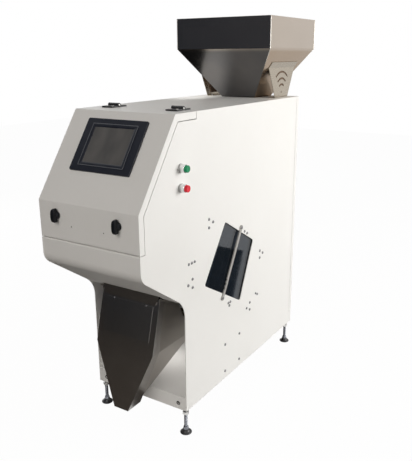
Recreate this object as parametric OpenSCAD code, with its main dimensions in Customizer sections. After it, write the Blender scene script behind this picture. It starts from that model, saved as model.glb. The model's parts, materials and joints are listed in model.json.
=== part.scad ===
// Optical colour sorter for grain, nuts and similar bulk food.
// Grain falls from the hopper onto a vibrating tray, slides down a steep chute, passes two camera
// boxes, and air jets push rejected pieces past a splitter. Good grain leaves by the front spout.
// Cabinet sizes are given from the front edge of the legs (y 0) and the underside of the panels (z 0).
// The part itself stands on the floor at z 0, centred over its own outline.

/* [Cabinet] */
// Outside width across the two side panels
body_w = 390; // [340:1:460]
// Height of the side panels
body_h = 1000; // [900:5:1100]
// Depth from the front edge of the legs to the outside of the rear door
body_rear = 845; // [780:5:950]
// How far the nose stands in front of the legs
nose_reach = 218; // [190:1:250]
// How far the top edge stands in front of the legs
top_reach = 33; // [10:1:60]
// Height of the fold between the sloping front and the upright front
fold_z = 740; // [710:1:780]
// Height of the seam under the hood
seam_z = 620; // [600:1:640]
// Height at which the front would meet the sloping underside without its round
nose_end_z = 544; // [530:1:560]
// Angle of the sloping underside to the floor
under_angle = 35; // [30:1:40]
// Round at the bottom of the nose
nose_r = 50; // [20:1:70]
// Round where the underside runs into the legs
leg_r = 85; // [40:1:100]
// Thickness of the side panels
panel_t = 2.5; // [2:0.1:4]
// Thickness of the other folded sheet
sheet = 2; // [1.5:0.1:3]
// Width of the hood flange that wraps round the sides
hood_wrap = 22; // [15:1:30]
// Open joint between the hood or door and the panels
groove = 2; // [1.5:0.1:4]
// Width of the rear door flange that wraps round the sides
door_wrap = 20; // [15:1:30]
// Height of the folded base
base_h = 50; // [40:1:60]

/* [Levelling feet] */
// Height of the cabinet above the floor
foot_h = 95; // [80:1:110]
// Half the distance between left and right feet
foot_x = 180; // [160:1:181]
// Distance of the front feet from the front of the base
front_inset = 16; // [16:1:40]
// Distance of the rear feet from the back of the base
rear_inset = 24; // [18:1:40]
// Radius of the threaded stud
stud_r = 6; // [5:0.5:6]
// Radius of the foot pad
pad_r = 20.5; // [18:0.5:26]

/* [Viewing line] */
// Middle of the window, measured back from the legs
axis_y = 300; // [290:1:310]
// Height of the middle of the window
axis_z = 448; // [440:1:460]
// Lean of the chute from upright
tilt = 30; // [29:0.5:31]
// Half length of the window along the chute
window_half = 117; // [90:1:120]
// Half width of the window at its upper edge
window_top = 121; // [90:1:125]
// Half width of the window at its lower edge
window_low = 142; // [110:1:150]
// Round of the window corners
window_r = 8; // [3:1:20]
// Half width of the chute bed
chute_half = 106; // [90:1:112]
// Height of the chute side walls
chute_wall = 28; // [15:1:40]

/* [Hopper] */
// Outside width of the square hopper mouth
hopper_w = 406; // [340:1:440]
// Middle of the hopper, measured back from the legs
hopper_y = 757; // [750:1:758]
// Height of the hopper rim
hopper_top = 1297; // [1240:1:1340]
// Height at which the straight box turns into the funnel
hopper_fold = 1184; // [1160:1:1220]
// Half width of the funnel at the level of the top cover
throat_half = 74; // [60:1:76]
// Middle of each hopper bracket plate, to either side
bracket_x = 155; // [140:1:165]

/* [Hood details] */
// Width of the touch screen bezel
screen_w = 234; // [200:1:260]
// Height of the touch screen bezel along the slope
screen_h = 179; // [150:1:190]
// Distance from the screen bezel to the top fold, along the slope
screen_gap = 31.6; // [20:0.1:40]
// Width of the picture area
picture_w = 162; // [140:1:170]
// Height of the picture area
picture_h = 127; // [110:1:132]
// Latches to either side of the middle
latch_x = 120; // [105:1:130]
// Height of the latches
latch_z = 700; // [696:1:705]
// Tip to tip length of the latch wings
wing = 48; // [40:1:56]
// Hood hinges to either side of the middle
hinge_x = 128; // [105:1:150]

/* [Outlet] */
// Half width of the outlet across the outside of its painted walls
outlet_half = 118; // [105:1:120]
// Height at which the outlet starts to narrow
taper_z = 222; // [215:1:230]
// Sideways slope of the narrowing walls
taper_k = 0.4167; // [0.38:0.005:0.43]
// Height of the spout end
spout_z = 6; // [2:1:15]

/* [Buttons] */
// Distance of the push buttons in front of the legs
button_y = 12; // [0:1:30]
// Height of the stop button
stop_z = 780; // [770:1:790]
// Height of the start button
start_z = 840; // [830:1:850]
// Travel of each button
press = 4; // [2:0.5:4]

/* [Hidden] */
$fn = 48;
half = body_w / 2;
inner = half - panel_t;
back = body_rear - door_wrap - groove;
base_back = body_rear - sheet;
hinge_y = 77.5;
hinge_z = body_h + 7;
hood_back = hinge_y - groove / 2;
mid_y = (hopper_y + hopper_w / 2 - nose_reach - 28) / 2;
leg_z = nose_end_z - nose_reach * tan(under_angle);
deck_z = leg_z + 9;
screw_r = 2.4;
bore_r = 2.5;
head_r = 5.2;
small_head_r = 4.2;
head_h = 3;
stud_play = 0.05;
lip_hole_x = half - 34;
lip_hole_r = 4.5;
bush_r = lip_hole_r + 3;
bush_l = 14;
slope_angle = atan2(body_h - fold_z, nose_reach - top_reach);
screen_up = norm([body_h - fold_z, nose_reach - top_reach]) - screen_gap - screen_h / 2;
funnel_k = (hopper_w / 2 - throat_half) / (hopper_fold - body_h);
throat_z = body_h - 12;
tray_z = throat_z - 36;
tray_half = chute_half - 8;
tray_back = hopper_y + throat_half;
box_half = 160;
box_top = 125;
box_low = 160;
box_near = 60;
box_far = 300;
box_spots = [[-85, -216], [127, -231], [-85, 216], [127, 231]];
shelf_z = tray_z - 158;
leaf_lean = 20;
leaf_t = 4.2;
leaf_y = [tray_back - 163, tray_back - 81];
plate_y = 660;
split_y = 186;
split_z = taper_z + 14;
latch_reach = 45;
door_axis = [-half - 7, back + groove / 2];
door_hinge_z = [150, 500, 850];
door_latch_z = 500;
door_latch_x = half - 38;
door_cam = door_wrap + 16;
neck_z = 30;
foot_y = [front_inset, base_back - rear_inset];
plate_low = base_h + 70;
plate_high = plate_low + 420;

// Colours
paint = [0.93, 0.92, 0.89];
steel = [0.62, 0.62, 0.63];
dark_steel = [0.3, 0.29, 0.28];
black = [0.06, 0.06, 0.07];
glass = [0.25, 0.3, 0.33];
grey = [0.5, 0.5, 0.52];

// Small helpers for outlines
function unit(v) = v / norm(v);
function left(v) = [-v[1], v[0]];
function cross2(a, b) = a[0] * b[1] - a[1] * b[0];
function reversed(p) = [for (i = [len(p) - 1 : -1 : 0]) p[i]];
// A run of corners moved d to its left, with mitred corners
function shifted(p, d) = [
    for (i = [0 : len(p) - 1])
        let (
            u = i > 0 ? unit(p[i] - p[i - 1]) : unit(p[1] - p[0]),
            v = i < len(p) - 1 ? unit(p[i + 1] - p[i]) : u,
            m = left(u) + left(v)
        )
        p[i] + d * 2 * m / (m * m)
];
// The arc that rounds corner b between a and c
function fillet(a, b, c, r, n) =
    let (
        u = unit(a - b),
        v = unit(c - b),
        h = acos(u * v) / 2,
        centre = b + unit(u + v) * r / sin(h),
        s = b + u * r / tan(h) - centre,
        e = b + v * r / tan(h) - centre,
        sweep = (180 - 2 * h) * sign(cross2(s, e))
    )
    [for (k = [0 : n]) let (q = sweep * k / n)
        centre + [s[0] * cos(q) - s[1] * sin(q), s[0] * sin(q) + s[1] * cos(q)]];
// An open run with its inner corners rounded
function rounded(p, r, n = 5) = [
    for (i = [0 : len(p) - 1])
        each (i == 0 || i == len(p) - 1 || r[i] == 0) ? [p[i]] : fillet(p[i - 1], p[i], p[i + 1], r[i], n)
];
// A closed outline with every corner rounded
function rounded_loop(p, r, n = 5) = [
    for (i = [0 : len(p) - 1]) each fillet(p[(i + len(p) - 1) % len(p)], p[i], p[(i + 1) % len(p)], r, n)
];
// Bend radii along one side of a folded sheet: the inside of each bend is r, the outside r + t
function bends(p, r, t, on_left) = [
    for (i = [0 : len(p) - 1])
        (i == 0 || i == len(p) - 1) ? 0
        : (cross2(p[i] - p[i - 1], p[i + 1] - p[i]) > 0) == on_left ? r : r + t
];
// Outline of a sheet folded along the run p, with its thickness t to the left
function folded(p, t, r) = concat(
    rounded(p, bends(p, r, t, false)),
    reversed(rounded(shifted(p, t), bends(p, r, t, true)))
);
// A place in the cabinet from its distance a down the chute and b behind the grain
function spot(a, b) = [axis_y - a * sin(tilt) + b * cos(tilt), axis_z - a * cos(tilt) - b * sin(tilt)];

// The outer run of the hood from the hinge to the seam
hood_run = [
    [hood_back, body_h],
    [-top_reach, body_h],
    [-nose_reach, fold_z],
    [-nose_reach, seam_z + groove / 2]
];
hood_edge = shifted(hood_run, hood_wrap + groove);
window_loop = [
    spot(-window_half, -window_top), spot(-window_half, window_top),
    spot(window_half, window_low), spot(window_half, -window_low)
];
// Middles of the screws on the right panel that are not in the groups of three
row_screws = [
    [25, 524], [42, 524], [59, 524], [493, 259], [507, 251], [278, 297], [292, 297], [285, 285],
    [394, 540], [414, 528], [257, 139], [364, 139], [257, 30], [364, 30]
];
strap_screws = [spot(-window_half - 14, 0), spot(window_half + 16, 0)];
group_r = 16.75;
// Three screws round a spacer: the upper ones point to the back, the lower ones to the front
function group(s) = let (q = s[0] < 0 ? 0 : 180)
    [for (k = [0 : 2]) spot(s[0], s[1]) + group_r * [cos(q + 120 * k), sin(q + 120 * k)]];
group_screws = [for (s = box_spots) each group(s)];
outlet_screws = [[-67, deck_z - 24], [67, deck_z - 24]];

module placed() {
    translate([0, -mid_y, foot_h]) children();
}

module box(a, b) {
    translate(a) cube(b - a);
}

// Extrudes an outline drawn in depth and height across the cabinet
module across(x0, x1) {
    translate([x0, 0, 0]) rotate([90, 0, 90]) linear_extrude(x1 - x0) children();
}

// Round bar or bore along the width, from x0 to x1
module pin_x(x0, x1, y, z, r) {
    translate([x0, y, z]) rotate([0, 90, 0]) cylinder(r = r, h = x1 - x0);
}

// Round bar or bore along the depth, from y0 to y1
module pin_y(y0, y1, x, z, r) {
    translate([x, y0, z]) rotate([-90, 0, 0]) cylinder(r = r, h = y1 - y0);
}

// Local frame on the grain line: y points behind the grain, z points up the chute
module on_line() {
    translate([0, axis_y, axis_z]) rotate([-tilt, 0, 0]) children();
}

// Local frame on the sloping front: y points up the slope, z points out
module on_slope() {
    translate([0, -nose_reach, fold_z]) rotate([slope_angle, 0, 0]) children();
}

module rounded_plate(w, h, r, t) {
    linear_extrude(t)
        polygon(rounded_loop([[-w / 2, -h / 2], [w / 2, -h / 2], [w / 2, h / 2], [-w / 2, h / 2]], r));
}

// Folded base with welded bosses for the four feet and bushes behind the holes in its front lip
module base_tray() {
    placed() color(paint) difference() {
        union() {
            box([-inner, 0, base_h - sheet], [inner, base_back, base_h]);
            box([-inner, 0, 0], [inner, sheet, base_h]);
            box([-inner, base_back - sheet, 0], [inner, base_back, base_h]);
            for (s = [-1, 1])
                translate([s * (inner - sheet / 2), 0, 0])
                    box([-sheet / 2, 0, 0], [sheet / 2, base_back, base_h]);
            for (s = [-1, 1], y = foot_y)
                box([s * foot_x - 11, y - 16, 0], [s * foot_x + 11, y + 16, base_h - sheet / 2]);
            for (s = [-1, 1]) pin_y(sheet / 2, bush_l, s * lip_hole_x, 23, bush_r);
        }
        for (s = [-1, 1], y = foot_y)
            translate([s * foot_x, y, -1]) cylinder(r = stud_r + stud_play, h = base_h - 6);
        for (s = [-1, 1]) pin_y(-1, bush_l + 1, s * lip_hole_x, 23, lip_hole_r);
        for (y = [257, 364]) pin_x(inner - 8, inner + 1, y, 30, bore_r);
    }
}

// Outline of a side panel, in depth and height
module panel_outline() {
    run = [
        [10, 0], [base_back, 0], [base_back, base_h + 1], [back, base_h + 1],
        [back, body_h], [hood_back + groove, body_h],
        [hood_back + groove, hood_edge[0][1]], hood_edge[1], hood_edge[2],
        [hood_edge[3][0], seam_z - groove / 2], [-nose_reach, seam_z - groove / 2],
        [-nose_reach, nose_end_z], [0, leg_z], [0, 0]
    ];
    polygon(rounded(run, [0, 0, 0, 0, 0, 0, 0, 0, 0, 0, 0, nose_r, leg_r, 0], 8));
}

// Return fold along the rear edge of a side panel
module panel_return(s) {
    box([s * (inner - 11) - 11, back - sheet, base_h + 4], [s * (inner - 11) + 11, back, body_h - 60]);
}

module left_side_panel() {
    placed() color(paint) difference() {
        union() {
            across(-half, -inner) panel_outline();
            panel_return(-1);
        }
        for (p = group_screws) pin_x(-half - 1, -inner + 1, p[0], p[1], bore_r);
    }
}

module right_side_panel() {
    placed() color(paint) difference() {
        union() {
            across(inner, half) panel_outline();
            panel_return(1);
        }
        across(inner - 1, half + 1) polygon(rounded_loop(window_loop, window_r));
        for (p = concat(group_screws, row_screws, strap_screws))
            pin_x(inner - 1, half + 1, p[0], p[1], bore_r);
        for (z = [start_z, stop_z]) pin_x(inner - 1, half + 1, -button_y, z, 11.2);
    }
}

// Fixed nose cover: top flange, front, sloping underside and a flat deck beside the outlet
module front_apron() {
    slant = [cos(under_angle), -sin(under_angle)];
    front = -nose_reach + 1;
    low = nose_end_z + tan(under_angle) * -1 + 1 / cos(under_angle);
    deck_y = front + (low - deck_z) / tan(under_angle);
    top = seam_z - groove / 2;
    run = [[front + 26, top], [front, top], [front, low], [deck_y, deck_z], [45, deck_z]];
    placed() color(paint) difference() {
        union() {
            across(-inner, inner)
                polygon(concat(
                    rounded(run, [0, 5, nose_r - 1, 5, 0], 8),
                    reversed(rounded(shifted(run, sheet), [0, 3, nose_r - 1 - sheet, 5 + sheet, 0], 8))
                ));
            // Upright tabs that the latches catch behind
            for (s = [-1, 1])
                box([s * latch_x - 14, front + 19, top - sheet], [s * latch_x + 14, front + 21, latch_z - 30]);
        }
        box([-outlet_half - 3, -40, deck_z - 60], [outlet_half + 3, 60, deck_z + 60]);
    }
}

// Fixed top with the opening for the hopper funnel
module top_cover() {
    front = hood_back + groove;
    end = body_rear - sheet - groove;
    placed() color(paint) difference() {
        union() {
            box([-inner, front, body_h - sheet], [inner, end, body_h]);
            box([-inner, front, body_h - 28], [inner, front + sheet, body_h]);
            box([-inner, end - sheet, body_h - 20], [inner, end, body_h]);
            for (s = [-1, 1])
                box([s * (inner - sheet / 2) - sheet / 2, front, body_h - 24],
                    [s * (inner - sheet / 2) + sheet / 2, back - 3, body_h]);
        }
        box([-throat_half - 2, hopper_y - throat_half - 2, body_h - 5],
            [throat_half + 2, hopper_y + throat_half + 2, body_h + 1]);
        for (s = [-1, 1], y = [-40, 40])
            translate([s * (bracket_x - 12), hopper_y + y, body_h - 5]) cylinder(r = bore_r, h = 6);
    }
}

// Round spacers that hold the two camera boxes off the side panels
module box_spacers() {
    placed() color(steel) for (s = [-1, 1], p = box_spots) difference() {
        q = spot(p[0], p[1]);
        pin_x(s > 0 ? box_half : -inner, s > 0 ? inner : -box_half, q[0], q[1], 23);
        for (h = group(p)) side_pin(s, -panel_t - 14, -panel_t + 1, h, bore_r);
    }
}

// A round pin across the panel on side s, from a to b measured outwards from the panel's face
module side_pin(s, a, b, p, r) {
    pin_x(s > 0 ? half + a : -half - b, s > 0 ? half + b : -half - a, p[0], p[1], r);
}

// One screw with its head on the outside of a side panel: s is the side, l its length in the wall
module side_screw(s, p, l, proud = 0) {
    side_pin(s, proud, proud + head_h, p, head_r);
    side_pin(s, proud - l, proud + 1, p, screw_r);
}

// Every fixed screw that shows on the cabinet, the hopper brackets and the outlet
module panel_screws() {
    placed() color(steel) {
        for (s = [-1, 1], p = group_screws) side_screw(s, p, panel_t + 11);
        for (p = row_screws) side_screw(1, p, panel_t);
        for (p = strap_screws) side_screw(1, p, panel_t + 4, 4);
        for (s = [-1, 1], y = [-40, 40]) translate([s * (bracket_x - 12), hopper_y + y, body_h]) {
            translate([0, 0, sheet]) cylinder(r = small_head_r, h = head_h);
            translate([0, 0, -sheet]) cylinder(r = screw_r, h = 2 * sheet + 1);
        }
        for (p = outlet_screws)
            translate([p[0], cover_y(p[1]), p[1]]) rotate([cover_lean, 0, 0]) {
                pin_y(-head_h, 0, 0, 0, small_head_r);
                pin_y(-1, 1.5, 0, 0, screw_r);
            }
    }
}

// Fixed half of each hood hinge: a leaf on the top cover and two outer knuckles
module hood_hinge_bodies() {
    placed() color(black) for (s = [-1, 1]) translate([s * hinge_x, 0, 0]) difference() {
        union() {
            box([-22, hinge_y + 8, body_h], [22, hinge_y + 36, body_h + 5]);
            for (k = [-1, 1]) {
                pin_x(18 * k - 4, 18 * k + 4, hinge_y, hinge_z, 6.5);
                box([18 * k - 4, hinge_y + 2.5, body_h + 0.6], [18 * k + 4, hinge_y + 9, hinge_z + 3]);
            }
        }
        pin_x(-23, 23, hinge_y, hinge_z, 3);
    }
}

module hood_hinge_pins() {
    placed() color(steel) for (s = [-1, 1]) pin_x(s * hinge_x - 22, s * hinge_x + 22, hinge_y, hinge_z, 3);
}

// Moving half of each hood hinge: a leaf on the hood and one middle knuckle
module hood_hinge_leaves() {
    placed() color(black) for (s = [-1, 1]) translate([s * hinge_x, 0, 0]) difference() {
        union() {
            box([-22, hinge_y - 36, body_h], [22, hinge_y - 8, body_h + 5]);
            pin_x(-13.6, 13.6, hinge_y, hinge_z, 6.5);
            box([-13.6, hinge_y - 9, body_h + 0.6], [13.6, hinge_y - 2.5, hinge_z + 3]);
        }
        pin_x(-23, 23, hinge_y, hinge_z, 3.06);
    }
}

// Hood: one folded sheet with side flanges, cut out for the screen and the latches
module hood_shell() {
    run = concat(hood_run, [[-nose_reach + 16, seam_z + groove / 2]]);
    placed() color(paint) difference() {
        union() {
            across(-half, half) polygon(folded(run, sheet, 3));
            for (s = [-1, 1]) across(s > 0 ? half - sheet : -half, s > 0 ? half : -half + sheet)
                polygon(concat(
                    rounded(hood_run, [0, 3 + sheet, 3 + sheet, 0]),
                    reversed(shifted(hood_run, hood_wrap))
                ));
        }
        on_slope() translate([0, screen_up, -sheet - 4])
            linear_extrude(sheet + 8) square([screen_w - 32, screen_h - 22], center = true);
        for (s = [-1, 1]) {
            pin_y(-nose_reach - 1, -nose_reach + sheet + 1, s * latch_x, latch_z, 11.2);
            pin_y(-nose_reach - 1, -nose_reach + sheet + 1, s * 63.5, latch_z - 30, 2);
        }
    }
}

// Screen bezel with a stepped rim and a pocket for the glass
module screen_bezel() {
    placed() color(black) on_slope() translate([0, screen_up, 0]) difference() {
        union() {
            rounded_plate(screen_w, screen_h, 12, 6);
            rounded_plate(screen_w - 26, screen_h - 26, 8, 8);
        }
        translate([0, 0, 4]) rounded_plate(picture_w, picture_h, 3, 10);
    }
}

module screen_glass() {
    placed() color(glass) on_slope() translate([0, screen_up, 4])
        rounded_plate(picture_w - 0.4, picture_h - 0.4, 2.8, 2);
}

// Electronics of the screen inside the hood
module screen_housing() {
    placed() color(black) on_slope() translate([0, screen_up, 0]) {
        box([-screen_w / 2 + 18, -screen_h / 2 + 13, -38], [screen_w / 2 - 18, screen_h / 2 - 13, 0]);
        box([-60, -40, -50], [60, 40, -37]);
    }
}

// Round sleeve of each latch, clamped in the hood
module latch_bases() {
    placed() color(black) for (s = [-1, 1]) difference() {
        union() {
            pin_y(-nose_reach - 5, -nose_reach, s * latch_x, latch_z, 17);
            pin_y(-nose_reach - 1, -nose_reach + 24, s * latch_x, latch_z, 11);
            pin_y(-nose_reach + sheet, -nose_reach + 8, s * latch_x, latch_z, 15);
        }
        pin_y(-nose_reach - 6, -nose_reach + 25, s * latch_x, latch_z, 5.05);
    }
}

// Wing knob with its shaft and the cam behind; the cam points to the middle when released
module latch(s) {
    placed() color(black) translate([s * latch_x, -nose_reach, latch_z]) {
        difference() {
            union() {
                pin_y(-12, -5.4, 0, 0, 14);
                translate([0, -28, 0]) rotate([-90, 0, 0]) linear_extrude(17)
                    polygon(rounded_loop([[-7, -wing / 2], [7, -wing / 2], [7, wing / 2], [-7, wing / 2]], 5));
            }
            // Hollows that thin the wing for the fingers
            for (k = [-1, 1]) pin_x(-20, 20, -28, k * (wing / 2 + 8), 12);
        }
        pin_y(-10, 30, 0, 0, 5);
        box([s > 0 ? -latch_reach : -9, 25, -9], [s > 0 ? 9 : latch_reach, 30, 9]);
    }
}

module latch_left() {
    latch(-1);
}

module latch_right() {
    latch(1);
}

// Threaded sleeve, front ring, collar and nut of each push button
module button_bezels() {
    placed() color(steel) for (z = [start_z, stop_z]) difference() {
        union() {
            pin_x(half, half + 4, -button_y, z, 14.5);
            pin_x(half + 4, half + 14, -button_y, z, 13);
            pin_x(inner - 22, half + 1, -button_y, z, 11);
            pin_x(inner - 6, inner, -button_y, z, 15);
        }
        pin_x(inner - 23, half + 15, -button_y, z, 6.08);
        pin_x(half + 8, half + 15, -button_y, z, 11.4);
    }
}

module contact_blocks() {
    placed() color(grey) for (z = [start_z, stop_z])
        box([inner - 60, -button_y - 15, z - 22], [inner - 22, -button_y + 15, z + 22]);
}

// Coloured cap with its stem; it stands clear of the bezel by its travel
module button_cap(z, tint) {
    placed() color(tint) {
        pin_x(half + 10 + press, half + 29, -button_y, z, 11);
        pin_x(inner - 21.5 + press, half + 12 + press, -button_y, z, 6);
    }
}

module start_button() {
    button_cap(start_z, [0.1, 0.5, 0.2]);
}

module stop_button() {
    button_cap(stop_z, [0.7, 0.1, 0.1]);
}

// Window: rubber frame inside the panel, glass behind it, strap outside
module window_gasket() {
    placed() color(black) difference() {
        across(inner - 2, inner) polygon(rounded_loop(shifted_loop(window_loop, 12), window_r + 8));
        across(inner - 3, inner + 1) polygon(rounded_loop(shifted_loop(window_loop, 1), window_r));
    }
}

module window_pane() {
    placed() color(glass) across(inner - 6, inner - 2)
        polygon(rounded_loop(shifted_loop(window_loop, 12), window_r + 8));
}

// A closed outline grown by d
function shifted_loop(p, d) = [
    for (i = [0 : len(p) - 1])
        let (
            u = unit(p[i] - p[(i + len(p) - 1) % len(p)]),
            v = unit(p[(i + 1) % len(p)] - p[i]),
            m = left(u) + left(v)
        )
        p[i] + d * 2 * m / (m * m)
];

module window_strap() {
    top = window_half + 14;
    low = window_half + 16;
    placed() color(paint) difference() {
        union() {
            on_line() box([half, -6.5, -low - 7], [half + 4, 6.5, top + 7]);
            for (p = strap_screws) pin_x(half, half + 4, p[0], p[1], 9);
        }
        on_line() for (k = [0 : 2]) box([half - 1, -7, -70 - 16 * k], [half + 5, -1.5, -63 - 16 * k]);
        for (p = strap_screws) pin_x(half - 1, half + 5, p[0], p[1], bore_r);
    }
}

// Square frustum between two heights
module frustum(h0, h1, z0, z1) {
    translate([0, hopper_y, z0]) linear_extrude(z1 - z0, scale = h1 / h0) square(2 * h0, center = true);
}

// Half width of the funnel at a height, over its outside
function funnel(z) = hopper_w / 2 - (hopper_fold - z) * funnel_k;

// Stainless feed hopper: straight box and square funnel
module hopper() {
    wall = sheet * sqrt(1 + funnel_k * funnel_k);
    placed() color(steel) difference() {
        union() {
            translate([0, hopper_y, 0])
                box([-hopper_w / 2, -hopper_w / 2, hopper_fold], [hopper_w / 2, hopper_w / 2, hopper_top]);
            frustum(funnel(throat_z), hopper_w / 2, throat_z, hopper_fold);
        }
        box([-hopper_w / 2 + sheet, hopper_y - hopper_w / 2 + sheet, hopper_fold],
            [hopper_w / 2 - sheet, hopper_y + hopper_w / 2 - sheet, hopper_top + 1]);
        frustum(funnel(throat_z - 2) - wall, funnel(hopper_fold + 0.5) - wall, throat_z - 2, hopper_fold + 0.5);
    }
}

// Side bracket of the hopper: foot flange, upright plate and a flange along the funnel
module hopper_bracket(s) {
    face = bracket_x + sheet / 2;
    wall = sheet * sqrt(1 + funnel_k * funnel_k);
    bend_z = hopper_fold - (hopper_w / 2 - face + wall) / funnel_k;
    tip = [face + 26 * funnel_k / sqrt(1 + funnel_k * funnel_k), bend_z + 26 / sqrt(1 + funnel_k * funnel_k)];
    run = [[face - 28, body_h], [face, body_h], [face, bend_z], tip];
    centre_z = body_h + 20;
    placed() color(steel) mirror([s < 0 ? 1 : 0, 0, 0]) difference() {
        intersection() {
            translate([0, hopper_y + 120, 0]) rotate([90, 0, 0])
                linear_extrude(240) polygon(folded(run, sheet, 1));
            across(0, hopper_w)
                polygon([[hopper_y - 56, body_h - 1], [hopper_y + 56, body_h - 1], [hopper_y + 115, bend_z],
                    [hopper_y + 115, bend_z + 40], [hopper_y - 115, bend_z + 40], [hopper_y - 115, bend_z]]);
        }
        for (r = [30, 53, 78])
            translate([face - 10, hopper_y, centre_z]) rotate([0, 90, 0]) rotate([0, 0, 180 - 42])
            rotate_extrude(angle = 84) translate([r - 3.5, 0]) square([7, 20]);
        pin_x(face - 10, face + 10, hopper_y, centre_z, 4);
        for (y = [-40, 40])
            translate([bracket_x - 12, hopper_y + y, body_h - 1]) cylinder(r = bore_r, h = sheet + 2);
    }
}

module hopper_bracket_left() {
    hopper_bracket(-1);
}

module hopper_bracket_right() {
    hopper_bracket(1);
}

// Depth of the front of a feeder leaf spring at a height
function leaf(k, z) = leaf_y[k] + (z - shelf_z - 53) * tan(leaf_lean);

module feeder_shelf() {
    placed() color(paint) {
        box([-inner, tray_back - 211, shelf_z - sheet], [inner, back - 10, shelf_z]);
        box([-inner, tray_back - 211, shelf_z - 30], [inner, tray_back - 211 + sheet, shelf_z]);
        for (s = [-1, 1])
            box([s * (inner - sheet / 2) - sheet / 2, tray_back - 211, shelf_z - 30],
                [s * (inner - sheet / 2) + sheet / 2, back - 10, shelf_z]);
    }
}

module feeder_mounts() {
    placed() color(black) for (s = [-1, 1], y = [tray_back - 171, tray_back - 46])
        translate([s * 55, y, shelf_z]) cylinder(r = 14, h = 20);
}

module feeder_base() {
    placed() color(grey) {
        box([-75, tray_back - 191, shelf_z + 20], [75, tray_back - 26, shelf_z + 53]);
        for (k = [0, 1]) across(-45, 45)
            polygon([[leaf(k, shelf_z + 52), shelf_z + 52], [leaf(k, shelf_z + 52) + 26, shelf_z + 52],
                [leaf(k, shelf_z + 76) + 18, shelf_z + 76], [leaf(k, shelf_z + 76), shelf_z + 76]]);
    }
}

// Laminated core and coil on the base
module feeder_magnet() {
    placed() color(dark_steel) {
        box([-32, tray_back - 131, shelf_z + 53], [32, tray_back - 91, shelf_z + 113]);
        box([-42, tray_back - 129, shelf_z + 66], [42, tray_back - 93, shelf_z + 100]);
    }
}

// Vibrating tray with spring lugs and the armature under it
module feeder_tray() {
    front = tray_back - 234;
    placed() color(steel) {
        difference() {
            box([-tray_half, front, tray_z - sheet], [tray_half, tray_back, tray_z + 38]);
            box([-tray_half + sheet, front - 1, tray_z], [tray_half - sheet, tray_back - sheet, tray_z + 39]);
        }
        for (k = [0, 1]) across(-45, 45)
            polygon([[leaf(k, tray_z - 34), tray_z - 34], [leaf(k, tray_z - 34) + 18, tray_z - 34],
                [leaf(k, tray_z - 1) + 22, tray_z - 1], [leaf(k, tray_z - 1), tray_z - 1]]);
        box([-28, tray_back - 118, tray_z - 41], [28, tray_back - 78, tray_z - 1]);
    }
}

module feeder_springs() {
    placed() color(dark_steel) for (k = [0, 1]) across(-50, 50)
        polygon([[leaf(k, shelf_z + 54) - leaf_t, shelf_z + 54], [leaf(k, shelf_z + 54), shelf_z + 54],
            [leaf(k, tray_z - 6), tray_z - 6], [leaf(k, tray_z - 6) - leaf_t, tray_z - 6]]);
}

// Steep slide with side walls, and the bars that carry it
module chute() {
    placed() color(steel) on_line() difference() {
        box([-chute_half - sheet, -chute_wall, box_top + 5], [chute_half + sheet, 3, 560]);
        box([-chute_half, -chute_wall - 1, box_top + 4], [chute_half, 0, 561]);
    }
}

module chute_bars() {
    placed() color(paint) on_line() for (z = [200, 470]) difference() {
        box([-inner, 3, z - 15], [inner, 33, z + 15]);
        box([-inner - 1, 6, z - 12], [inner + 1, 30, z + 12]);
    }
}

// Camera box on one side of the grain: s is -1 in front and 1 behind
module vision_box(s) {
    placed() color(dark_steel) on_line() mirror([0, s < 0 ? 1 : 0, 0]) difference() {
        box([-box_half, box_near, -box_low], [box_half, box_far, box_top]);
        box([-box_half + sheet, box_near + sheet, -box_low + sheet],
            [box_half - sheet, box_far - sheet, box_top - sheet]);
        box([-126, box_near - 1, -96], [126, box_near + sheet + 1, 96]);
    }
}

module front_vision_box() {
    vision_box(-1);
}

module rear_vision_box() {
    vision_box(1);
}

module vision_glasses() {
    placed() color(glass) for (s = [0, 1]) on_line() mirror([0, s, 0])
        box([-134, box_near + sheet, -104], [134, box_near + sheet + 4, 104]);
}

// Line camera with its lens, on the far wall of each box
module cameras() {
    placed() color(black) for (s = [0, 1]) on_line() mirror([0, s, 0]) {
        box([-35, box_far - 78, -35], [35, box_far - sheet, 35]);
        pin_y(box_far - 130, box_far - 77, 0, 0, 24);
    }
}

// Lamp bars above and below the line of sight in each box
module lamps() {
    placed() color([0.8, 0.82, 0.85]) for (s = [0, 1]) on_line() mirror([0, s, 0]) {
        box([-130, box_near + 12, box_top - sheet - 18], [130, box_near + 36, box_top - sheet]);
        box([-130, box_near + 12, -box_low + sheet], [130, box_near + 36, -box_low + sheet + 30]);
    }
}

// Air manifold under the front camera box, with one nozzle bar across the grain
module ejector_manifold() {
    placed() color(steel) on_line() difference() {
        union() {
            box([-112, -130, -box_low - 45], [112, -box_near - 5, -box_low]);
            box([-108, -box_near - 6, -box_low - 26], [108, -14, -box_low - 12]);
        }
        for (k = [-11 : 11]) pin_y(-20, -13, 9 * k, -box_low - 19, 1.5);
    }
}

// Row of valves on the front of the manifold
module ejector_valves() {
    placed() color(black) on_line() for (k = [-5 : 5])
        box([19.5 * k - 8, -176, -box_low - 40], [19.5 * k + 8, -130, -box_low - 6]);
}

// Depth and lean of the outlet front at a height
cover_top = [-33, deck_z];
cover_bend = [-81, taper_z];
cover_end = [-111, spout_z];
function between(a, b, z) = a[0] + (b[0] - a[0]) * (z - a[1]) / (b[1] - a[1]);
function cover_y(z) =
    z > cover_bend[1] ? between(cover_top, cover_bend, z) : between(cover_bend, cover_end, z);
cover_lean = -atan2(cover_top[0] - cover_bend[0], cover_top[1] - cover_bend[1]);
function taper(z) = outlet_half - taper_k * (taper_z - z);

// A level rectangle for hulls: half width, depth range, height
module level(hw, y0, y1, z) {
    translate([-hw, y0, z]) cube([2 * hw, y1 - y0, 0.01]);
}

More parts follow.
